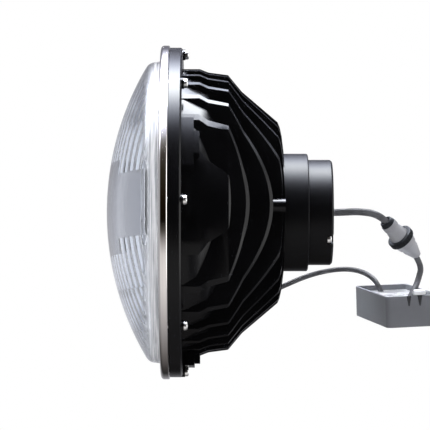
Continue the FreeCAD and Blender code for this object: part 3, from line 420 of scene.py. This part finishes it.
def black_turned():
    f = Finish("Turned black aluminium", specular_ior_level=0.1)
    lines = f.noise(1.0, 3, place=f.turned_place(7000, 7000, 0.8))
    wash = f.noise(60, 2)
    f.shades(f.ramp(wash, 0.35, 0.65), colours().turned, 0.85, 1.3)
    return f.rough(lines, 0.30, 0.39).relief(lines, 0.06, 0.00003)


def zinc_screw():
    f = Finish("Bright zinc", metallic=1.0)
    grain = f.noise(900, 3)
    f.base(f.ramp(grain, 0.3, 0.7), (0.66, 0.66, 0.65), (0.84, 0.84, 0.82))
    return f.rough(grain, 0.24, 0.36).relief(grain, 0.08, 0.00003)


def reflector_metal():
    f = Finish("Aluminised reflector", metallic=1.0)
    haze = f.noise(45, 3)
    f.base(f.ramp(haze, 0.35, 0.65), (0.74, 0.75, 0.77), (0.84, 0.85, 0.87))
    return f.rough(haze, 0.06, 0.14).relief(f.noise(160, 1), 0.04, 0.0001)


def black_plastic():
    f = Finish("Black moulded trim", specular_ior_level=0.4)
    grain = f.noise(2200, 2)
    f.base(f.ramp(f.noise(50), 0.35, 0.65), (0.018, 0.018, 0.020), (0.028, 0.028, 0.030))
    return f.rough(grain, 0.42, 0.56).relief(grain, 0.12, 0.00004)


def seal_rubber():
    f = Finish("Seal rubber", specular_ior_level=0.3)
    dust = f.noise(300, 4)
    f.base(f.ramp(dust, 0.4, 0.75), (0.022, 0.022, 0.023), (0.045, 0.045, 0.047))
    return f.rough(dust, 0.6, 0.78).relief(dust, 0.15, 0.00005)


def thermal_pad():
    f = Finish("Thermal pad", specular_ior_level=0.3)
    grain = f.noise(700, 3)
    f.base(f.ramp(grain, 0.35, 0.65), (0.30, 0.35, 0.40), (0.38, 0.43, 0.48))
    return f.rough(grain, 0.6, 0.75).relief(grain, 0.1, 0.00004)


def board_white():
    f = Finish("White solder mask")
    weave = f.noise(900, 2, stretch=(1, 1, 0.2))
    f.base(f.ramp(weave, 0.4, 0.6), (0.70, 0.71, 0.69), (0.78, 0.79, 0.77))
    return f.rough(weave, 0.3, 0.42).relief(weave, 0.08, 0.00003)


def led_yellow():
    f = Finish("LED phosphor", coat_weight=0.6, coat_roughness=0.08)
    grain = f.cells(2600)
    f.base(f.ramp(grain, 0.1, 0.7), (0.86, 0.74, 0.20), (0.80, 0.62, 0.12))
    return f.rough(f.noise(400), 0.22, 0.36).relief(grain, 0.1, 0.00003)


def board_green():
    f = Finish("Green solder mask", coat_weight=0.3, coat_roughness=0.2)
    tracks = f.cells(420)
    f.base(f.ramp(tracks, 0.25, 0.6), (0.020, 0.115, 0.050), (0.040, 0.190, 0.085))
    return f.rough(f.noise(600), 0.3, 0.45).relief(tracks, 0.1, 0.00004)


def brass():
    f = Finish("Bare brass", metallic=1.0)
    tarnish = f.noise(260, 4)
    f.base(f.ramp(tarnish, 0.35, 0.7), (0.72, 0.55, 0.26), (0.52, 0.38, 0.17))
    return f.rough(tarnish, 0.2, 0.38).relief(f.noise(1500, 2), 0.06, 0.00002)


def copper_wire():
    f = Finish("Red wire sheath", specular_ior_level=0.5)
    rub = f.noise(500, 3)
    f.base(f.ramp(rub, 0.35, 0.65), (0.40, 0.035, 0.03), (0.52, 0.06, 0.05))
    return f.rough(rub, 0.35, 0.5).relief(rub, 0.06, 0.00002)


def ferrite():
    f = Finish("Ferrite", specular_ior_level=0.4)
    grain = f.noise(1800, 3)
    f.base(f.ramp(grain, 0.35, 0.7), (0.045, 0.045, 0.050), (0.080, 0.080, 0.085))
    return f.rough(grain, 0.5, 0.66).relief(grain, 0.2, 0.00004)


def can_aluminium():
    f = Finish("Capacitor can", metallic=1.0)
    brushed = f.noise(500, 3, stretch=(1, 0.2, 0.2))
    f.base(f.ramp(brushed, 0.35, 0.65), (0.55, 0.55, 0.57), (0.70, 0.70, 0.72))
    return f.rough(brushed, 0.24, 0.38).relief(brushed, 0.08, 0.00002)


def cable_black():
    f = Finish("Cable sheath", specular_ior_level=0.05)
    rub = f.noise(260, 4)
    f.shades(f.ramp(rub, 0.35, 0.65), colours().cable, 0.8, 1.25)
    return f.rough(rub, 0.16, 0.24).relief(f.noise(900, 2), 0.06, 0.00004)


def connector_dark():
    f = Finish("Black nylon", specular_ior_level=0.07)
    grain = f.noise(1300, 3)
    f.shades(f.ramp(f.noise(90), 0.35, 0.65), colours().nut, 0.8, 1.4)
    return f.rough(grain, 0.4, 0.55).relief(grain, 0.12, 0.00004)


def connector_grey():
    f = Finish("Moulded grey sleeve", specular_ior_level=0.3)
    grain = f.noise(1100, 3)
    f.shades(f.ramp(f.noise(70), 0.35, 0.65), colours().connector, 0.9, 1.1)
    return f.rough(grain, 0.3, 0.45).relief(grain, 0.12, 0.00004)


def case_grey():
    f = Finish("Moulded grey case", specular_ior_level=0.25)
    spark = f.cells(1500)
    wash = f.noise(45, 4)
    f.shades(f.ramp(wash, 0.35, 0.65), colours().case, 0.92, 1.08)
    return f.rough(wash, 0.48, 0.6).relief(spark, 0.16, 0.00006)


def potting_white():
    f = Finish("Cured resin", specular_ior_level=0.5, coat_weight=0.4, coat_roughness=0.15)
    swirl = f.noise(70, 4)
    f.shades(f.ramp(swirl, 0.35, 0.65), colours().potting, 0.94, 1.04)
    return f.rough(swirl, 0.2, 0.34).relief(swirl, 0.2, 0.0003)


FINISHES = (
    clear_lens,
    satin_nickel,
    black_casting,
    black_turned,
    zinc_screw,
    reflector_metal,
    black_plastic,
    seal_rubber,
    thermal_pad,
    board_white,
    led_yellow,
    board_green,
    brass,
    copper_wire,
    ferrite,
    can_aluminium,
    cable_black,
    connector_dark,
    connector_grey,
    case_grey,
    potting_white,
)
made_finishes = {}


def colours():
    return bpy.context.scene.headlight_colours


def finish(slot):
    """The material of that slot, made the first time that it is asked for."""
    if slot not in made_finishes:
        recipe = next(f for f in FINISHES if f.__name__ == slot)
        made_finishes[slot] = recipe().material
    return made_finishes[slot]


# Light

BEHIND = (1.0, 1.0, 1.0)  # what the camera sees round the object
ALL_ROUND = (0.97, 0.98, 1.0)  # tint of the light from all round
SOFTBOX = {"size": (1.5, 1.3), "place": (0.05, 0.0, 0.9), "tint": (0.98, 0.985, 1.0)}
FLOOR_REACH = 1.5  # half the floor's width

# Brightness of what glossy and transmitted rays meet. ROUND goes by degrees about the lamp's
# axis: 0 is at the camera and 90 overhead. ALONG goes by the ray's X from -1 to 1, and its last
# number is how far it covers ROUND.
GLOSS_ROUND = (
    (-180, (0.60, 0.60, 0.64)),
    (-165, (0.28, 0.28, 0.30)),
    (-150, (0.03, 0.03, 0.03)),
    (-139, (0.055, 0.05, 0.05)),
    (-119, (0.18, 0.17, 0.17)),
    (-98, (0.36, 0.35, 0.36)),
    (-78, (0.62, 0.60, 0.61)),
    (-57, (0.92, 0.90, 0.91)),
    (-42, (0.97, 0.95, 0.95)),
    (-33, (0.88, 0.86, 0.86)),
    (-24, (0.44, 0.42, 0.42)),
    (-17, (0.10, 0.09, 0.08)),
    (-10, (0.006, 0.004, 0.002)),
    (5, (0.014, 0.009, 0.005)),
    (25, (0.035, 0.03, 0.02)),
    (36, (0.07, 0.06, 0.055)),
    (41, (0.18, 0.17, 0.16)),
    (46, (0.33, 0.33, 0.34)),
    (56, (1.45, 1.5, 1.8)),
    (66, (8.6, 9.2, 11.2)),
    (77, (28.0, 29.5, 33.5)),
    (86, (48.0, 50.0, 53.0)),
    (98, (48.0, 50.0, 52.0)),
    (108, (27.0, 28.5, 31.5)),
    (118, (9.6, 10.2, 12.4)),
    (128, (2.9, 3.05, 3.8)),
    (138, (0.95, 0.98, 1.2)),
    (148, (0.26, 0.27, 0.33)),
    (158, (0.20, 0.20, 0.24)),
    (168, (0.32, 0.32, 0.34)),
    (180, (0.60, 0.60, 0.64)),
)
GLOSS_ALONG = (
    (-1.0, (0.52, 0.53, 0.57), 1.0),
    (-0.9, (0.52, 0.53, 0.57), 1.0),
    (-0.55, (0.52, 0.53, 0.57), 0.0),
    (0.46, (0.12, 0.12, 0.13), 0.0),
    (0.60, (0.12, 0.12, 0.13), 0.9),
    (0.78, (0.50, 0.50, 0.53), 0.9),
    (0.88, (0.85, 0.85, 0.88), 1.0),
    (0.96, (2.80, 2.80, 2.80), 1.0),
    (1.0, (2.80, 2.80, 2.80), 1.0),
)
GLASS_ROUND = (
    (-180, (1.25, 1.25, 1.29)),
    (-140, (1.25, 1.25, 1.29)),
    (-110, (1.25, 1.25, 1.29)),
    (-40, (1.00, 1.00, 1.04)),
    (-10, (0.30, 0.32, 0.36)),
    (40, (0.30, 0.32, 0.36)),
    (60, (0.9, 0.9, 0.95)),
    (75, (4.0, 4.0, 4.2)),
    (110, (4.0, 4.0, 4.2)),
    (130, (1.3, 1.3, 1.34)),
    (180, (1.25, 1.25, 1.29)),
)
GLASS_ALONG = (
    (-1.0, (1.3, 1.32, 1.38), 1.0),
    (-0.56, (1.45, 1.47, 1.55), 1.0),
    (-0.48, (0.42, 0.435, 0.485), 1.0),
    (-0.25, (0.47, 0.48, 0.535), 1.0),
    (-0.06, (0.38, 0.39, 0.445), 0.95),
    (-0.03, (0.38, 0.39, 0.445), 0.0),
    (0.10, (0.7, 0.7, 0.74), 0.0),
    (0.35, (0.7, 0.7, 0.74), 0.8),
    (1.0, (0.6, 0.6, 0.64), 1.0),
)


# Operators


class HeadlightOperator(bpy.types.Operator):
    """What the building steps share"""

    bl_options = {"REGISTER", "UNDO"}


class HEADLIGHT_OT_stage(HeadlightOperator):
    """Sets up the camera, the pale floor and the studio light"""

    bl_idname = "headlight.stage"
    bl_label = "Stage"

    def execute(self, context):
        stage = context.scene.headlight_stage
        self.camera(context, stage)
        self.floor(context, stage)
        self.lamps(context, stage)
        self.world(context, stage)
        context.scene.view_settings.view_transform = "Standard"
        return {"FINISHED"}

    def camera(self, context, stage):
        data = bpy.data.cameras.new("Camera")
        data.lens = stage.focal
        camera = bpy.data.objects.new("Camera", data)
        context.scene.collection.objects.link(camera)
        back = Vector((0, -math.cos(stage.elevation), math.sin(stage.elevation)))
        camera.location = Vector((stage.aim_x, 0, stage.aim_z)) + stage.distance * back
        camera.rotation_euler = (math.pi / 2 - stage.elevation, 0, 0)
        context.scene.camera = camera

    def floor(self, context, stage):
        bm = bmesh.new()
        bmesh.ops.create_grid(bm, x_segments=1, y_segments=1, size=FLOOR_REACH)
        bmesh.ops.translate(bm, vec=(0, 0, stage.floor_z), verts=bm.verts)
        mesh = bpy.data.meshes.new("Floor")
        bm.to_mesh(mesh)
        bm.free()
        floor = bpy.data.objects.new("Floor", mesh)
        context.scene.collection.objects.link(floor)
        f = Finish("Pale floor", specular_ior_level=0.2)
        f.base(f.noise(3), (0.86, 0.86, 0.86), (0.90, 0.90, 0.90))
        f.rough(f.noise(8), 0.6, 0.7)
        mesh.materials.append(f.material)
        floor.visible_glossy = False
        floor.visible_transmission = False

    def lamps(self, context, stage):
        data = bpy.data.lights.new("Overhead softbox", "AREA")
        data.shape = "RECTANGLE"
        data.size, data.size_y = SOFTBOX["size"]
        data.energy = stage.key
        data.color = SOFTBOX["tint"]
        lamp = bpy.data.objects.new("Overhead softbox", data)
        context.scene.collection.objects.link(lamp)
        lamp.location = SOFTBOX["place"]
        lamp.visible_glossy = False
        lamp.visible_transmission = False
        lamp.visible_camera = False

    def world(self, context, stage):
        """White for the camera, even light for the surfaces, and a studio for their reflections."""
        world = bpy.data.worlds.new("Studio")
        context.scene.world = world
        world.cycles.sampling_method = "NONE"
        world.use_nodes = True
        world.node_tree.nodes.clear()
        sky = Nodes(world.node_tree)
        x, y, z = sky.parts(sky.node("ShaderNodeTexCoord").outputs["Generated"])
        turn = sky.math("ARCTAN2", z, sky.math("MULTIPLY", y, -1.0))
        turn = sky.ramp(turn, -math.pi, math.pi)
        end = sky.ramp(x, -1.0, 1.0)

        def background(rgb, strength):
            shader = sky.node("ShaderNodeBackground")
            shader.inputs["Color"].default_value = (*rgb, 1)
            shader.inputs["Strength"].default_value = strength
            return shader

        def colours_along(source, stops):
            """A colour ramp of (place from 0 to 1, colour, opacity)."""
            made = sky.node("ShaderNodeValToRGB")
            elements = made.color_ramp.elements
            while len(elements) < len(stops):
                elements.new(0.5)
            for element, (position, rgb, opacity) in zip(elements, stops):
                element.position = position
                element.color = (*(value / stage.sky for value in rgb), opacity)
            sky.link(source, made.inputs[0])
            return made.outputs

        def surround(round_, along):
            """What a ray meets by its angle about the lamp's axis, and by its X at the ends."""
            by_turn = [((degrees + 180) / 360, rgb, 1) for degrees, rgb in round_]
            by_end = [((x + 1) / 2, rgb, opacity) for x, rgb, opacity in along]
            round_rgb, _ = colours_along(turn, by_turn)
            end_rgb, cover = colours_along(end, by_end)
            mix = sky.node("ShaderNodeMix", data_type="RGBA")
            sky.link(cover, mix.inputs["Factor"])
            for socket, source in zip(mix.inputs[MIX_COLOURS], (round_rgb, end_rgb)):
                sky.link(source, socket)
            shader = background(BEHIND, stage.sky)
            sky.link(mix.outputs[MIX_COLOUR], shader.inputs["Color"])
            return shader

        path = sky.node("ShaderNodeLightPath").outputs
        lit = background(ALL_ROUND, stage.fill)
        for ray, seen in (
            ("Is Glossy Ray", surround(GLOSS_ROUND, GLOSS_ALONG)),
            ("Is Transmission Ray", surround(GLASS_ROUND, GLASS_ALONG)),
            ("Is Camera Ray", background(BEHIND, 1.0)),
        ):
            mix = sky.node("ShaderNodeMixShader")
            for socket, source in zip(mix.inputs, (path[ray], lit.outputs[0], seen.outputs[0])):
                sky.link(source, socket)
            lit = mix
        sky.link(lit.outputs[0], sky.node("ShaderNodeOutputWorld").inputs[0])


class HEADLIGHT_OT_lens(HeadlightOperator):
    """Models the fluted dome lens with its skirt and foot"""

    bl_idname = "headlight.lens"
    bl_label = "Lens"

    tip = 1e-7  # radius of the dome's last ring, which is merged to a point
    row_step = 0.0018  # height of a mesh row
    row_gap = 0.00003  # half the gap between the two mesh rows at a break
    flute_cells = 8  # mesh columns in a rib
    rim_cell = 0.4  # how far past the rim a point may lie, in columns, to be moved onto it

    def execute(self, context):
        lens = context.scene.headlight_lens
        bm = bmesh.new()
        self.inside(bm, lens)
        for x, radius in self.outline(lens):
            rim = [edge for edge in bm.edges if edge.is_boundary]
            for vert in bmesh.ops.extrude_edge_only(bm, edges=rim)["geom"]:
                if isinstance(vert, bmesh.types.BMVert):
                    scale = radius / math.hypot(vert.co.y, vert.co.z)
                    vert.co = (x, vert.co.y * scale, vert.co.z * scale)
        bmesh.ops.remove_doubles(bm, verts=bm.verts, dist=MERGE)
        bmesh.ops.recalc_face_normals(bm, faces=bm.faces)
        shaded(bm, sharp=36)
        kept("fluted_lens", bm, "lens")
        return {"FINISHED"}

    def shoulder(self, lens, dome, skirt, edge):
        """Where a dome rounds into its skirt: the rounding's centre and its angle at the dome."""
        across = skirt - edge
        along = lens.apex_x + lens.dome - math.sqrt((dome - edge) ** 2 - across**2)
        return (along, across), math.degrees(math.asin(across / (dome - edge)))

    def hollow(self, lens):
        """The inner dome's radius, its skirt's bore and the rounding between them."""
        return lens.dome - lens.wall, lens.skirt - lens.skirt_wall, lens.edge - lens.wall

    def outline(self, lens):
        """The (x, radius) points from the inner dome, round the foot, to the outer dome's front."""
        dome, bore, edge = self.hollow(lens)
        centre, meets = self.shoulder(lens, dome, bore, edge)
        foot_x = lens.back_x - lens.foot_depth
        points = arc(centre, edge, meets, 90, count=6)[1:]
        points += [(lens.back_x, bore), (lens.back_x, lens.foot)]
        points += [(foot_x, lens.foot), (foot_x, lens.skirt)]
        centre, meets = self.shoulder(lens, lens.dome, lens.skirt - lens.draft, lens.edge)
        points += arc(centre, lens.edge, 90, meets, count=10)
        points += arc((lens.apex_x + lens.dome, 0), lens.dome, meets, 0, count=40)[1:-1]
        return points + [(lens.apex_x, self.tip)]

    def rise(self, lens, y, z):
        """How far the ribs stand in from the smooth dome at that place."""
        height = abs(z)
        rise = lens.rise
        band = height < (lens.clear_far if y > 0 else lens.clear_wide)
        if band or (height < lens.clear_tall and abs(y) < lens.clear_half_width):
            rise = lens.rise * lens.rim_share if math.hypot(y, z) > lens.clear_reach else 0.0
        row = (height > lens.first_row) + (height > lens.second_row)
        across = ((y - row * lens.row_shift) / lens.pitch) % 1
        return rise * (1 - (2 * across - 1) ** 2)

    def levels(self, lens, reach):
        """Heights of the mesh rows: even between the breaks of the ribs, doubled at each break."""
        marks = [0, lens.clear_wide, lens.clear_tall, lens.clear_far]
        marks += [lens.first_row, lens.second_row, reach]
        heights = []
        for low, high in zip(marks, marks[1:]):
            start, end = low + self.row_gap, high - self.row_gap
            count = max(2, round((end - start) / self.row_step))
            heights += [start + (end - start) * i / count for i in range(count + 1)]
        return sorted({-h for h in heights} | set(heights))

    def inside(self, bm, lens):
        """The ribbed inner side of the dome, out to where it rounds into the skirt."""
        cell = lens.pitch / self.flute_cells
        inner, bore, edge = self.hollow(lens)
        centre, meets = self.shoulder(lens, inner, bore, edge)
        rim = arc(centre, edge, meets, 90, count=1)[0][1]
        columns = math.ceil(rim / cell) + 1
        heights = self.levels(lens, (columns + 1) * cell)
        rows = len(heights) - 1
        bmesh.ops.create_grid(bm, x_segments=2 * columns, y_segments=rows, size=1)
        centre_x = lens.apex_x + lens.dome
        outside = []
        for vert in bm.verts:
            y = vert.co.x * columns * cell
            z = heights[round((vert.co.y + 1) / 2 * rows)]
            vert.co = (0, y, z)
            if math.hypot(y, z) > rim + self.rim_cell * cell:
                outside.append(vert)
        bmesh.ops.delete(bm, geom=outside, context="VERTS")
        for vert in [v for v in bm.verts if v.is_boundary]:
            scale = rim / math.hypot(vert.co.y, vert.co.z)
            vert.co.y *= scale
            vert.co.z *= scale
        for vert in bm.verts:
            _, y, z = vert.co
            rise = 0 if vert.is_boundary else self.rise(lens, y, z)
            reach = math.sqrt(inner**2 - y**2) - rise
            vert.co.x = centre_x - math.sqrt(reach**2 - z**2)


class HEADLIGHT_OT_bezel(HeadlightOperator):
    """Turns the satin nickel ring round the lens"""

    bl_idname = "headlight.bezel"
    bl_label = "Bezel"

    def execute(self, context):
        bezel = context.scene.headlight_bezel
        centre = (bezel.front_x + bezel.edge, bezel.radius - bezel.edge)
        profile = [(bezel.front_x, bezel.lip)]
        profile += arc(centre, bezel.edge, 0, 90, count=10)
        profile += [
            (bezel.back_x - bezel.rear_edge, bezel.radius),
            (bezel.back_x, bezel.radius - bezel.rear_edge),
            (bezel.back_x, bezel.rebate),
            (bezel.rebate_x, bezel.rebate),
            (bezel.rebate_x, bezel.lip),
        ]
        bm = bmesh.new()
        spun(bm, profile, steps=288)
        merged(bm)
        bmesh.ops.recalc_face_normals(bm, faces=bm.faces)
        shaded(bm, sharp=24)
        kept("nickel_bezel", bm, "bezel_ring")
        return {"FINISHED"}


class HEADLIGHT_OT_housing(HeadlightOperator):
    """Breaks the edges of the finned casting"""

    bl_idname = "headlight.housing"
    bl_label = "Heat sink housing"

    def execute(self, context):
        dressed("heat_sink_housing", "finned_casting", bevel=0.00025)
        return {"FINISHED"}


class HEADLIGHT_OT_rear(HeadlightOperator):
    """Finishes the collar, the cap, the bushing and their seals"""

    bl_idname = "headlight.rear"
    bl_label = "Collar and cap"

    def execute(self, context):
        dressed("rear_collar", "turned_collar", bevel=0.00015)
        dressed("rear_cap", "turned_cap", bevel=0.00015)
        dressed("cable_grommet", "lead_bushing", bevel=0.0001)
        for node in ("collar_seal", "cap_seal", "lens_gasket"):
            dressed(node, node + "_ring", bevel=0.0001)
        return {"FINISHED"}


class HEADLIGHT_OT_screws(HeadlightOperator):
    """Finishes every screw with its cross recess"""

    bl_idname = "headlight.screws"
    bl_label = "Screws"

    def execute(self, context):
        for node in [name for name in SOLIDS if name.endswith("screws")]:
            dressed(node, node + "_zinc", bevel=0.00008)
        return {"FINISHED"}


class HEADLIGHT_OT_light(HeadlightOperator):
    """Finishes the reflector, the trim ring and the LED board"""

    bl_idname = "headlight.light"
    bl_label = "Reflector and LEDs"

    def execute(self, context):
        dressed("reflector", "reflector_dish", bevel=0.0002)
        dressed("inner_trim_ring", "trim_ring", bevel=0.0002)
        dressed("thermal_pad", "grey_pad", bevel=0.0001)
        dressed("led_board", "light_board", bevel=0.0001)
        dressed("low_beam_leds", "low_beam_row", bevel=0.0002)
        dressed("high_beam_leds", "high_beam_row", bevel=0.0002)
        dressed("led_wires", "red_wires")
        return {"FINISHED"}


class HEADLIGHT_OT_driver(HeadlightOperator):
    """Finishes the driver electronics in the rear tube"""

    bl_idname = "headlight.driver"
    bl_label = "Driver"

    def execute(self, context):
        dressed("driver_board", "driver_card", bevel=0.0001)
        dressed("driver_standoffs", "brass_standoffs", bevel=0.0001)
        dressed("power_inductor", "choke", bevel=0.0002)
        dressed("capacitors", "capacitor_cans", bevel=0.0002)
        dressed("regulator_chips", "chips", bevel=0.0001)
        return {"FINISHED"}


class HEADLIGHT_OT_connector(HeadlightOperator):
    """Finishes the in-line connector between the two leads"""

    bl_idname = "headlight.connector"
    bl_label = "Connector"

    pieces = (
        ("plug_grip", "open_grip", 0.0001),
        ("plug_body", "plug_cone", 0.0001),
        ("connector_seal", "connector_ring", 0.0),
        ("connector_pins", "contact_pins", 0.0),
        ("coupling_nut", "ribbed_nut", 0.0001),
        ("socket_body", "socket_sleeve", 0.0001),
        ("socket_boot", "tapered_boot", 0.0001),
    )

    def execute(self, context):
        for node, name, bevel in self.pieces:
            dressed(node, name, bevel)
        return {"FINISHED"}


class HEADLIGHT_OT_decoder(HeadlightOperator):
    """Finishes the decoder box, its resin, board, seals and bead"""

    bl_idname = "headlight.decoder"
    bl_label = "Decoder box"

    def execute(self, context):
        dressed("decoder_case", "grey_case", bevel=0.0003)
        dressed("potting", "resin_fill", bevel=0.0001)
        dressed("decoder_board", "decoder_card")
        dressed("slot_seals", "wall_seals", bevel=0.0001)
        dressed("wire_clip", "pale_bead", bevel=0.0002)
        return {"FINISHED"}


class HEADLIGHT_OT_socket_plug(HeadlightOperator):
    """Finishes the three-bladed plug for the motorcycle's lamp socket"""

    bl_idname = "headlight.socket_plug"
    bl_label = "Socket plug"

    def execute(self, context):
        dressed("h4_plug_body", "blade_holder", bevel=0.0003)
        dressed("h4_plug_blades", "brass_blades", bevel=0.0001)
        return {"FINISHED"}


class HEADLIGHT_OT_leads(HeadlightOperator):
    """Lays the three leads along their routes"""

    bl_idname = "headlight.leads"
    bl_label = "Leads"

    lamp_route = (
        (0.0770, 0.0000, 0.0000),
        (0.0845, 0.0000, 0.0000),
        (0.0934, -0.0030, 0.0004),
        (0.1049, -0.0028, -0.0012),
        (0.10967, 0.00123, -0.00594),
    )
    box_route = (
        (0.11975, 0.00963, -0.01580),
        (0.1294, 0.0177, -0.0256),
        (0.1264, 0.0134, -0.0364),
        (0.1232, 0.0080, -0.0422),
        (0.1207, 0.0036, -0.0468),
        (0.1196, 0.0024, -0.0512),
    )
    output_route = (
        (0.11178, 0.06388, -0.04455),
        (0.10875, 0.06325, -0.03524),
        (0.1023, 0.0705, -0.0288),
        (0.0932, 0.0745, -0.0262),
        (0.0820, 0.0795, -0.0267),
        (0.0694, 0.0840, -0.0297),
        (0.0564, 0.0880, -0.0352),
        (0.0424, 0.0914, -0.0412),
        (0.0270, 0.0930, -0.0465),
        (0.01924, 0.0930, -0.04842),
    )

    def lead(self, name, node, route, diameter):
        """A smooth round lead along the route, which stands for that solid."""
        curve = bpy.data.curves.new(name, "CURVE")
        curve.dimensions = "3D"
        curve.bevel_depth = diameter / 2
        curve.bevel_resolution = 8
        curve.use_fill_caps = True
        line = curve.splines.new("NURBS")
        line.points.add(len(route) - 1)
        for point, place in zip(line.points, route):
            point.co = (*place, 1)
        line.order_u = 3
        line.use_endpoint_u = True
        line.resolution_u = 16
        lead = bpy.data.objects.new(name, curve)
        bpy.context.scene.collection.objects.link(lead)
        curve.materials.append(finish(SLOTS[node]))
        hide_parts(node)
        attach(lead, "root")
        return lead

    def execute(self, context):
        sizes = context.scene.headlight_leads
        lamp = self.lead("lamp_lead_sheath", "lamp_lead", self.lamp_route, sizes.lamp)
        box = self.lead("box_lead_sheath", "box_lead", self.box_route, sizes.box)
        output = self.lead("output_lead_sheath", "output_lead", self.output_route, sizes.output)
        return {"FINISHED"}


STEPS = (
    HEADLIGHT_OT_stage,
    HEADLIGHT_OT_lens,
    HEADLIGHT_OT_bezel,
    HEADLIGHT_OT_housing,
    HEADLIGHT_OT_rear,
    HEADLIGHT_OT_screws,
    HEADLIGHT_OT_light,
    HEADLIGHT_OT_driver,
    HEADLIGHT_OT_connector,
    HEADLIGHT_OT_decoder,
    HEADLIGHT_OT_socket_plug,
    HEADLIGHT_OT_leads,
)


class HEADLIGHT_PT_panel(bpy.types.Panel):
    """Lists the building steps"""

    bl_idname = "HEADLIGHT_PT_panel"
    bl_label = "Headlight"
    bl_space_type = "VIEW_3D"
    bl_region_type = "UI"
    bl_category = "Headlight"

    def draw(self, context):
        for step in STEPS:
            self.layout.operator(step.bl_idname)
        for settings in SETTINGS:
            box = self.layout.box()
            group = getattr(context.scene, settings)
            for prop in group.bl_rna.properties:
                if prop.identifier not in ("name", "rna_type"):
                    box.prop(group, prop.identifier)


SETTINGS = {
    "headlight_lens": LensSizes,
    "headlight_bezel": BezelSizes,
    "headlight_leads": LeadSizes,
    "headlight_colours": Colours,
    "headlight_stage": StageSettings,
}


def register():
    for group in SETTINGS.values():
        bpy.utils.register_class(group)
    for name, group in SETTINGS.items():
        setattr(bpy.types.Scene, name, PointerProperty(type=group))
    for step in STEPS + (HEADLIGHT_PT_panel,):
        bpy.utils.register_class(step)


def unregister():
    for step in reversed(STEPS + (HEADLIGHT_PT_panel,)):
        bpy.utils.unregister_class(step)
    for name, group in SETTINGS.items():
        delattr(bpy.types.Scene, name)
        bpy.utils.unregister_class(group)


def main():
    register()
    for step in STEPS:
        group, name = step.bl_idname.split(".")
        getattr(getattr(bpy.ops, group), name)()


if __name__ == "__main__":
    main()
